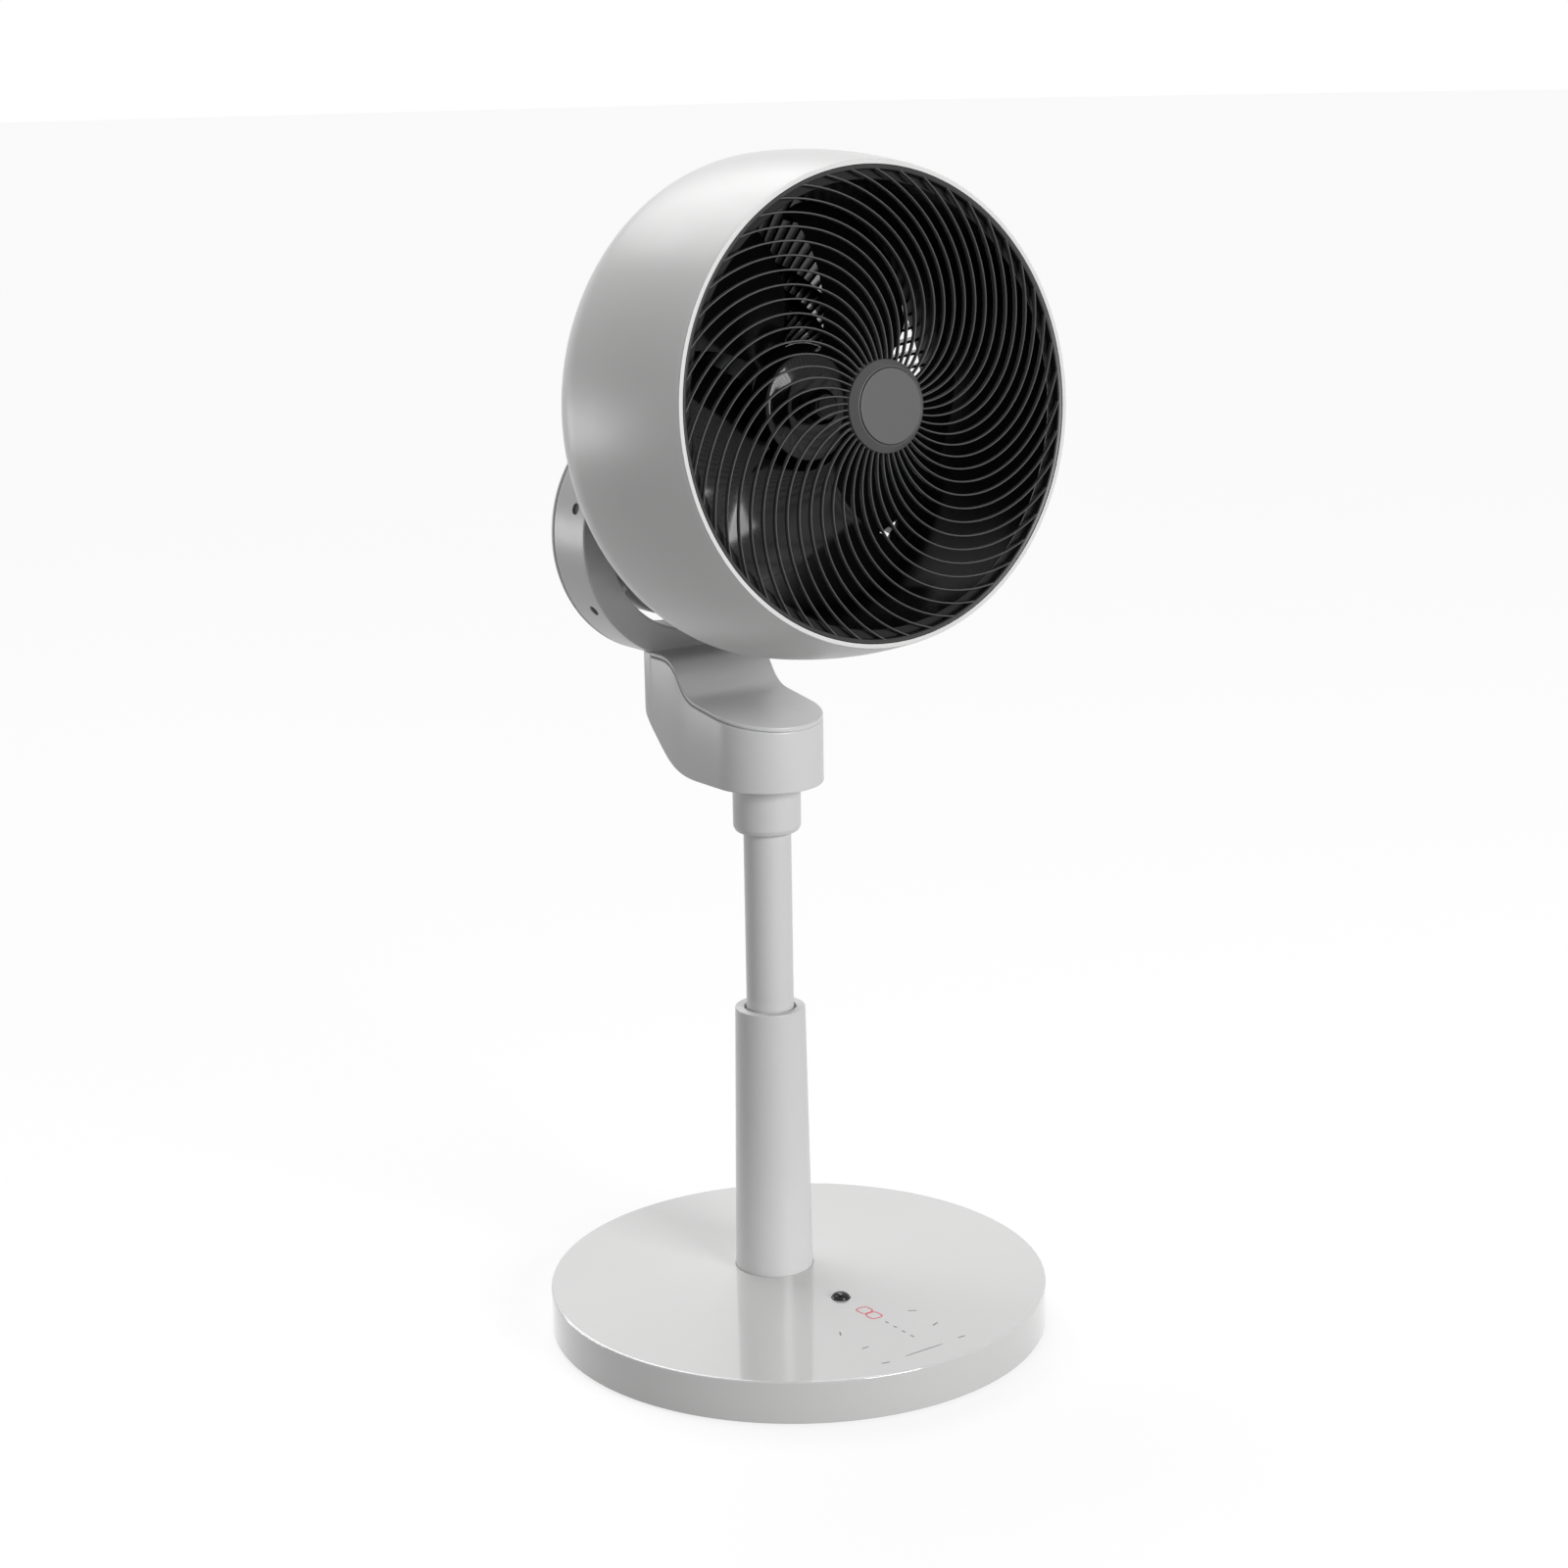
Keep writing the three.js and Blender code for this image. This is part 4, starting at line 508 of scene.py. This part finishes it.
def ring():
    """The ring's channel with its ears and foot, the cover behind it, and the drum with its lugs."""
    screws = [(side, angle) for side in (1, -1) for angle in RIM_SCREW_ANGLES]
    open_end, inner, outer = RING_REAR - RING_WALL - GAP, RING_BORE_R + RING_WALL, RING_R - RING_WALL
    channel = eased([(RING_BORE_R, RING_FRONT), (RING_R, RING_FRONT), (RING_R, open_end), (outer, open_end),
                     (outer, RING_FRONT + RING_WALL), (inner, RING_FRONT + RING_WALL), (inner, open_end),
                     (RING_BORE_R, open_end)], RING_EDGE)
    nose = np.radians(np.linspace(90, 270, 33))
    reach = RING_FRONT + 1.5 + COLUMN_Y - TILT_Y
    ear = np.concatenate([np.stack([EAR_R * np.cos(nose), EAR_R * np.sin(nose)], -1),
                          [(reach, -EAR_R), (reach, EAR_R)]])
    ears = [slab(ear, low, low + EAR_T, hinge_axis, 0.6) for low in (EAR_SIDE, -EAR_SIDE - EAR_T)]
    half = ARM_FOOT_W / 2
    foot_low = NECK_Z + NECK_H - ARM_FOOT_H - RING_Z
    foot_high = foot_low + ARM_FOOT_H + 3
    foot = slab([(-half, foot_low), (half, foot_low), (half, foot_high), (-half, foot_high)],
                RING_FRONT + 1, NECK_BACK - WALL - GAP, ring_axis, 0.5)
    band = piece("ring_band", turned(channel, ring_axis, 256), "arm", COLUMN, ["ring_arm"])
    cut_away(band, *[rim_bar(RIM_SCREW_R + GAP, RING_R - RIM_SCREW_SUNK, RING_R + 2, *s) for s in screws])
    piece("ring_ears", together(*ears, foot), "arm", COLUMN)

    cover = eased([(RING_BORE_R, RING_REAR - RING_WALL), (RING_R, RING_REAR - RING_WALL), (RING_R, RING_REAR),
                   (RING_BORE_R, RING_REAR)], RING_EDGE)
    piece("ring_back", turned(cover, ring_axis, 256), "arm", COLUMN, ["ring_cover"])

    front = RING_FRONT + DRUM_SETBACK
    cup = eased([(0, front), (DRUM_R, front), (DRUM_R, RING_REAR), (DRUM_R - DRUM_WALL, RING_REAR),
                 (DRUM_R - DRUM_WALL, front + DRUM_WALL), (0, front + DRUM_WALL)], 1.2)
    lugs = [rim_bar(DRUM_LUG_R, DRUM_R - DRUM_WALL, RING_BORE_R - GAP, *s) for s in screws]
    piece("drum_cup", together(turned(cup, ring_axis, 192), *lugs), "arm", COLUMN, ["drive_drum"])
    side, bevel, flat = 2, 4, DRUM_R - 3
    lid = [(0, RING_REAR + GAP), (DRUM_R, RING_REAR + GAP), (DRUM_R, RING_REAR + side), (flat, RING_REAR + bevel)]
    crown = np.linspace(DRUM_R - 8, 0, 14)
    lid += [(x, RING_REAR + bevel + (DRUM_COVER_T - bevel) * (1 - (x / flat) ** 2)) for x in crown]
    piece("drum_lid", turned(eased(lid, 0.5), ring_axis, 192), "arm", COLUMN, ["drum_cover"])


def hinge():
    """Motor can and cap outside the ears, and the head's bracket between them."""
    face = EAR_SIDE + EAR_T + GAP
    end = face + TILT_MOTOR_L
    can = eased([(0, face), (TILT_MOTOR_R, face), (TILT_MOTOR_R, end), (0, end)], 0.9)
    piece("tilt_can", turned(can, hinge_axis, 64), "arm", STEEL, ["tilt_motor"])
    top = -face - PIVOT_CAP_T
    cap = eased([(0, top), (PIVOT_CAP_R, top), (PIVOT_CAP_R, -face), (0, -face)], 1.2)
    piece("pivot_button", turned(cap, hinge_axis, 64), "arm", COLUMN, ["pivot_cap"])

    low = REAR_FACE + GAP
    plate = turned(eased([(0, low), (BRACKET_R, low), (BRACKET_R, low + BRACKET_T), (0, low + BRACKET_T)], 0.8),
                   head_axis, 96)
    barrel_place = lambda p: head_axis(np.stack([p[..., 1], HEAD_BACK + p[..., 0], p[..., 2] - HEAD_RISE], -1))
    half = KNUCKLE_W / 2
    barrel = turned(eased([(0, -half), (KNUCKLE_R, -half), (KNUCKLE_R, half), (0, half)], 0.8), barrel_place, 64)
    web_half, web_foot = KNUCKLE_WEB / 2, low + BRACKET_T - HEAD_BACK - 1
    web = slab([(web_foot, -web_half), (0, -web_half), (0, web_half), (web_foot, web_half)],
               -half, half, barrel_place, 0.8)
    piece("tilt_bracket", together(plate, barrel, web), "head", COLUMN, ["head_bracket"])


# ---- head
def shell_radius(s):
    """One arc out to the widest place, then a quarter ellipse towards the rear."""
    reach = SHELL_MAX_BACK / np.sqrt(1 - (SHELL_FRONT_R / SHELL_MAX_R) ** 2)
    run = np.where(s < SHELL_MAX_BACK, reach, SHELL_REAR - SHELL_MAX_BACK)
    return SHELL_MAX_R * np.sqrt(np.clip(1 - ((s - SHELL_MAX_BACK) / run) ** 2, 0, 1))


def rear_depth(r):
    """How far back the rear ellipse lies at a radius."""
    return SHELL_MAX_BACK + (SHELL_REAR - SHELL_MAX_BACK) * np.sqrt(1 - (r / SHELL_MAX_R) ** 2)


def head_shell():
    """The white ball: lip, outer curve, a small rolled edge at the back, and the inner wall."""
    s = np.linspace(1.6, SHELL_END - 2, 70)
    outside = np.stack([shell_radius(s), s], -1)
    inside = np.stack([shell_radius(s[::-1]) - WALL, s[::-1]], -1)
    inside = inside[inside[:, 1] > LIP_DEPTH + 4]
    # the lip's two front corners, without the rows of the profile's ends
    front = eased([(GRILLE_R + GAP, LIP_DEPTH), (GRILLE_R + GAP, 0), (SHELL_FRONT_R, 0), (SHELL_FRONT_R, 3)],
                  0.4)[7:-7]
    end_r = float(shell_radius(np.array(SHELL_END)))
    roll = np.radians(np.linspace(60, -90, 10))
    lip = np.stack([end_r - 0.9 + 1.1 * np.cos(roll), SHELL_END - 1.1 - 1.1 * np.sin(roll)], -1)
    profile = np.concatenate([front, outside, lip, [(end_r - WALL, SHELL_END)], inside,
                              [(GRILLE_R + GAP, LIP_DEPTH)]])
    piece("ball_shell", turned(profile, head_axis, 256), "head", SHELL, ["head_shell"])


def duct():
    """The black wall behind the grille, with a flange under the grille's rim."""
    shape = eased([(DUCT_R, DUCT_FLANGE), (GRILLE_R, DUCT_FLANGE), (GRILLE_R, DUCT_FLANGE + DUCT_FLANGE_T),
                   (DUCT_R + DUCT_WALL, DUCT_FLANGE + DUCT_FLANGE_T + 1), (DUCT_R + DUCT_WALL, SHELL_END - 2),
                   (DUCT_R, SHELL_END - 2)], 0.6)
    piece("duct_wall", turned(shape, head_axis, 192), "head", DUCT, ["air_duct"])


def front_grille():
    """Ribs: r runs from the hub to the rim and the angle grows as RIB_SWEEP * u^RIB_CURL, on a shallow dome."""
    out = np.linspace(0, 1, 40)
    low, high = HUB_R - 1, GRILLE_R - 1.2
    start = np.linspace(0, 2 * np.pi, RIBS, endpoint=False)[:, None]
    angle = start + np.radians(RIB_SWEEP) * out ** RIB_CURL
    r = low + (high - low) * out
    depth = (RIB_LIFT - HUB_DOME) * (1 - out ** 2) + RIB_LIFT * out
    path = np.stack([r * np.cos(angle), np.broadcast_to(depth, angle.shape), r * np.sin(angle)], -1)
    along = np.gradient(path, axis=1)
    side = np.cross(along, np.array([0, 1.0, 0]))
    side /= np.linalg.norm(side, axis=-1, keepdims=True)
    points, faces = swept(path, side, np.array([0, 1.0, 0]), RIB_CREST, RIB_D)
    ribs = head_axis(points), faces
    rim = turned(eased([(GRILLE_R, DUCT_FLANGE - GAP - RIM_T), (GRILLE_R, DUCT_FLANGE - GAP),
                        (GRILLE_R - RIM_SHOWN, DUCT_FLANGE - GAP),
                        (GRILLE_R - RIM_SHOWN, DUCT_FLANGE - GAP - RIM_T + 1)], 0.8),
                 head_axis, 256)
    piece("spiral_ribs", ribs, "head", RIB, ["front_grille"])
    piece("grille_rim", rim, "head", RIM)
    hub = eased([(0, CAP_FACE + 1.7), (CAP_R + GAP, CAP_FACE + 1.7), (CAP_R + GAP, CAP_FACE + 0.5),
                 (CAP_R + GAP + 0.6, CAP_FACE + 0.5), (HUB_R, -HUB_DOME), (HUB_R, -HUB_DOME + HUB_T),
                 (0, -HUB_DOME + HUB_T)], 0.5)
    piece("grille_hub", turned(hub, head_axis, 128), "head", HUB)
    cap = eased([(0, CAP_FACE), (CAP_R, CAP_FACE), (CAP_R, CAP_FACE + CAP_T), (0, CAP_FACE + CAP_T)], 0.5)
    piece("hub_disc", turned(cap, head_axis, 128), "head", CAP, ["hub_cap"])


def rear_grille():
    """Deep slats on the rear ellipse in three rows parted by rings, with a hub and a rim."""
    inside = DUCT_R + DUCT_WALL + GAP

    def slats(low, high, offset=0.0, rows=8):
        """Radial slats: r = SHELL_MAX_R * sin(t) and depth = the ellipse's, t even from low to high."""
        start = (np.linspace(0, 2 * np.pi, REAR_SLATS, endpoint=False) + offset)[:, None]
        r = SHELL_MAX_R * np.sin(np.linspace(np.arcsin(low / SHELL_MAX_R), np.arcsin(high / SHELL_MAX_R), rows))
        r = np.broadcast_to(r, (REAR_SLATS, rows))
        path = np.stack([r * np.cos(start), rear_depth(r) - REAR_SLAT_D - 0.3, r * np.sin(start)], -1)
        side = np.broadcast_to(np.stack([-np.sin(start), 0 * start, np.cos(start)], -1), path.shape)
        points, faces = swept(path, side, np.array([0, 1.0, 0]), REAR_SLAT_W, REAR_SLAT_D, 8)
        return head_axis(points), faces

    def hoop(middle):
        """A flat ring on the ellipse, REAR_RING_W wide and as deep as the slats."""
        back, half = rear_depth(middle) - 0.4, REAR_RING_W / 2
        low, high, front = middle - half, middle + half, back - REAR_SLAT_D
        section = [(low, front), (high, front), (high, back), (low, back)]
        return turned(eased(section, 0.6), head_axis, 160)

    end = float(shell_radius(np.array(SHELL_END))) - WALL - GAP
    spigot, seat, outermost = SHELL_END - REAR_SPIGOT_L, SHELL_END + GAP, SHELL_END + REAR_RIM_L
    rim = turned(eased([(inside, spigot), (end, spigot), (end, seat), (end + 1.5, seat), (end, outermost),
                        (inside, outermost)], 0.6), head_axis, 192)
    hub_front = REAR_FACE - REAR_HUB_T
    hub = turned(eased([(0, hub_front), (REAR_HUB_R, hub_front), (REAR_HUB_R, REAR_FACE), (0, REAR_FACE)], 0.8),
                 head_axis, 128)
    half_pitch = np.pi / REAR_SLATS
    rows = [slats(REAR_RING_R, inside + 1), slats(REAR_NARROW_R, REAR_RING_R, half_pitch, 4),
            slats(REAR_HUB_R - 1, REAR_NARROW_R)]
    piece("rear_slats", together(*rows, hoop(REAR_RING_R), hoop(REAR_NARROW_R), rim, hub), "head", DUCT,
          ["rear_grille"])


def motor():
    """The fan motor's can with its front boss."""
    rear = REAR_FACE - REAR_HUB_T - GAP
    can = eased([(0, FAN_MOTOR_FRONT - FAN_BOSS_L), (FAN_BOSS_R, FAN_MOTOR_FRONT - FAN_BOSS_L),
                 (FAN_BOSS_R, FAN_MOTOR_FRONT), (FAN_MOTOR_R, FAN_MOTOR_FRONT), (FAN_MOTOR_R, rear),
                 (0, rear)], 1.2)
    piece("motor_can", turned(can, head_axis, 96), "head", STEEL, ["fan_motor"])


# ---- fan
def impeller():
    """Blades: r runs out, the blade spans `across`, and its depth falls from one edge to the other with a bow."""
    out = np.linspace(0, 1, 36)[:, None]
    across = np.linspace(-0.5, 0.5, 28)[None, :]
    r = FAN_HUB_R - 1 + (BLADE_TIP_R - FAN_HUB_R + 1) * out
    span = np.radians(BLADE_SPAN[0] + (BLADE_SPAN[1] - BLADE_SPAN[0]) * out)
    deep = BLADE_DEPTH[0] + (BLADE_DEPTH[1] - BLADE_DEPTH[0]) * out
    outer = np.clip(out - (1 - BLADE_ROUND_SHARE), 0, 1) / BLADE_ROUND_SHARE
    round_tip = 1 - 0.10 * outer ** 2 * (2 * across) ** 4
    angle = np.radians(BLADE_LEAN) * out ** 1.5 + span * across
    middle = FAN_HUB_FRONT + FAN_HUB_L / 2
    along = middle - deep * (across + BLADE_BOW * (across ** 2 - 0.25))
    thin_edges, thin_tip = np.sqrt(np.clip(1 - (2 * across) ** 2, 0, 1)), np.sqrt(np.clip(1 - out ** 8, 0, 1))
    thick = BLADE_T * thin_edges * thin_tip * 0.9 + 0.02
    shells = []
    for start in np.linspace(0, 2 * np.pi, BLADES, endpoint=False) + np.radians(BLADE_START):
        x, z = r * round_tip * np.cos(angle + start), r * round_tip * np.sin(angle + start)
        near = np.stack([x, along - thick / 2, z], -1)
        far = np.stack([x, along + thick / 2, z], -1)[:, ::-1]
        loop = np.concatenate([near, far], 1)
        ends = [np.broadcast_to(loop[i].mean(0), loop[i].shape)[None] for i in (0, -1)]
        grid = np.concatenate([ends[0], loop, ends[1]])
        shells.append((head_axis(grid.reshape(-1, 3)), grid_faces(len(grid), grid.shape[1])))
    front, back = FAN_HUB_FRONT, FAN_HUB_FRONT + FAN_HUB_L
    bore = FAN_HUB_R - FAN_HUB_WALL
    hub = turned(eased([(SHAFT_HOLE_R, front), (FAN_HUB_R * 0.55, front), (FAN_HUB_R * 0.84, front + 2.5),
                        (FAN_HUB_R, front + 10), (FAN_HUB_R, back), (bore, back), (bore, front + 11),
                        (FAN_HUB_R * 0.8, front + 5.2), (SHAFT_HOLE_R, front + FAN_HUB_WALL)], 1.5),
                 head_axis, 128)
    piece("fan_blades", together(hub, *shells), "rotor", GLOSS, ["impeller"])
    back = FAN_HUB_FRONT - GAP
    tip = back - NUT_L
    nut = eased([(0, tip), (NUT_R * 0.7, tip), (NUT_R, tip + 4), (NUT_R, back), (0, back)], 0.8)
    piece("fan_nut", turned(nut, head_axis, 64), "rotor", DUCT, ["blade_nut"])


# ---- floor, world and lamps
def straight_look(nodes, links):
    """1 for what the camera sees itself, in a gloss or through glass, else 0."""
    path = nodes.new("ShaderNodeLightPath")
    most = path.outputs["Is Camera Ray"]
    for other in ("Is Glossy Ray", "Is Transmission Ray"):
        larger = nodes.new("ShaderNodeMath")
        larger.operation = "MAXIMUM"
        links.new(most, larger.inputs[0])
        links.new(path.outputs[other], larger.inputs[1])
        most = larger.outputs[0]
    return most


def studio():
    """A pale floor that keeps the shadow, a white surround for what looks straight at it, and soft lamps."""
    world = bpy.data.worlds.new("surround")
    bpy.context.scene.world = world
    world.use_nodes = True
    nodes, links = world.node_tree.nodes, world.node_tree.links
    plain = nodes["Background"]
    plain.inputs["Color"].default_value = (1, 1, 1, 1)
    plain.inputs["Strength"].default_value = 0.16
    white = nodes.new("ShaderNodeBackground")
    white.inputs["Color"].default_value = (1, 1, 1, 1)
    white.inputs["Strength"].default_value = 1.0
    mix = nodes.new("ShaderNodeMixShader")
    links.new(straight_look(nodes, links), mix.inputs["Fac"])
    links.new(plain.outputs[0], mix.inputs[1])
    links.new(white.outputs[0], mix.inputs[2])
    links.new(mix.outputs[0], nodes["World Output"].inputs["Surface"])

    floor_mesh = bpy.data.meshes.new("floor")
    far = 40
    floor_mesh.from_pydata([(-far, -far, 0), (far, -far, 0), (far, far, 0), (-far, far, 0)], [], [(0, 1, 2, 3)])
    floor = bpy.data.objects.new("floor", floor_mesh)
    bpy.context.scene.collection.objects.link(floor)
    floor.location.z = -0.0002
    material = bpy.data.materials.new("floor_white")
    material.use_nodes = True
    nodes, links = material.node_tree.nodes, material.node_tree.links
    shader = nodes["Principled BSDF"]
    look = straight_look(nodes, links)
    pale = nodes.new("ShaderNodeMix")
    pale.data_type = "RGBA"
    pale.inputs["A"].default_value = (0.22, 0.22, 0.22, 1)
    pale.inputs["B"].default_value = (0.85, 0.85, 0.85, 1)
    links.new(look, pale.inputs["Factor"])
    links.new(pale.outputs["Result"], shader.inputs["Base Color"])
    shader.inputs["Roughness"].default_value = 0.9
    shader.inputs["Specular IOR Level"].default_value = 0.0
    glow = nodes.new("ShaderNodeEmission")
    glow.inputs["Strength"].default_value = 1.08
    share = nodes.new("ShaderNodeMath")
    share.operation = "MULTIPLY"
    share.inputs[1].default_value = 0.75
    links.new(look, share.inputs[0])
    mix = nodes.new("ShaderNodeMixShader")
    links.new(share.outputs[0], mix.inputs["Fac"])
    links.new(shader.outputs[0], mix.inputs[1])
    links.new(glow.outputs[0], mix.inputs[2])
    links.new(mix.outputs[0], nodes["Material Output"].inputs["Surface"])
    floor_mesh.materials.append(material)

    def lamp(name, place, size, power, target=(0, 0, 0.4)):
        """A soft rectangle of light at the place, in metres, aimed at the target."""
        light = bpy.data.lights.new(name, "AREA")
        light.shape, light.size, light.size_y, light.energy = "RECTANGLE", size[0], size[1], power
        thing = bpy.data.objects.new(name, light)
        thing.location = place
        thing.rotation_euler = (Vector(target) - Vector(place)).to_track_quat("-Z", "Y").to_euler()
        bpy.context.scene.collection.objects.link(thing)

    lamp("front_key", (0.3, -2.8, 1.2), (1.3, 1.3), 66)
    lamp("left_behind", (-1.5, 2.1, 0.2), (1.4, 0.7), 15)
    sky = bpy.data.lights.new("overhead", "SUN")
    sky.energy, sky.angle = 2.0, np.radians(50)
    above = bpy.data.objects.new("overhead", sky)
    above.rotation_euler = Vector((0.1, 0.75, 1)).to_track_quat("Z", "Y").to_euler()
    bpy.context.scene.collection.objects.link(above)


camera()
base()
panel()
column()
neck()
ring()
hinge()
head_shell()
duct()
front_grille()
rear_grille()
motor()
impeller()
studio()
bpy.context.scene.view_settings.view_transform = "Standard"
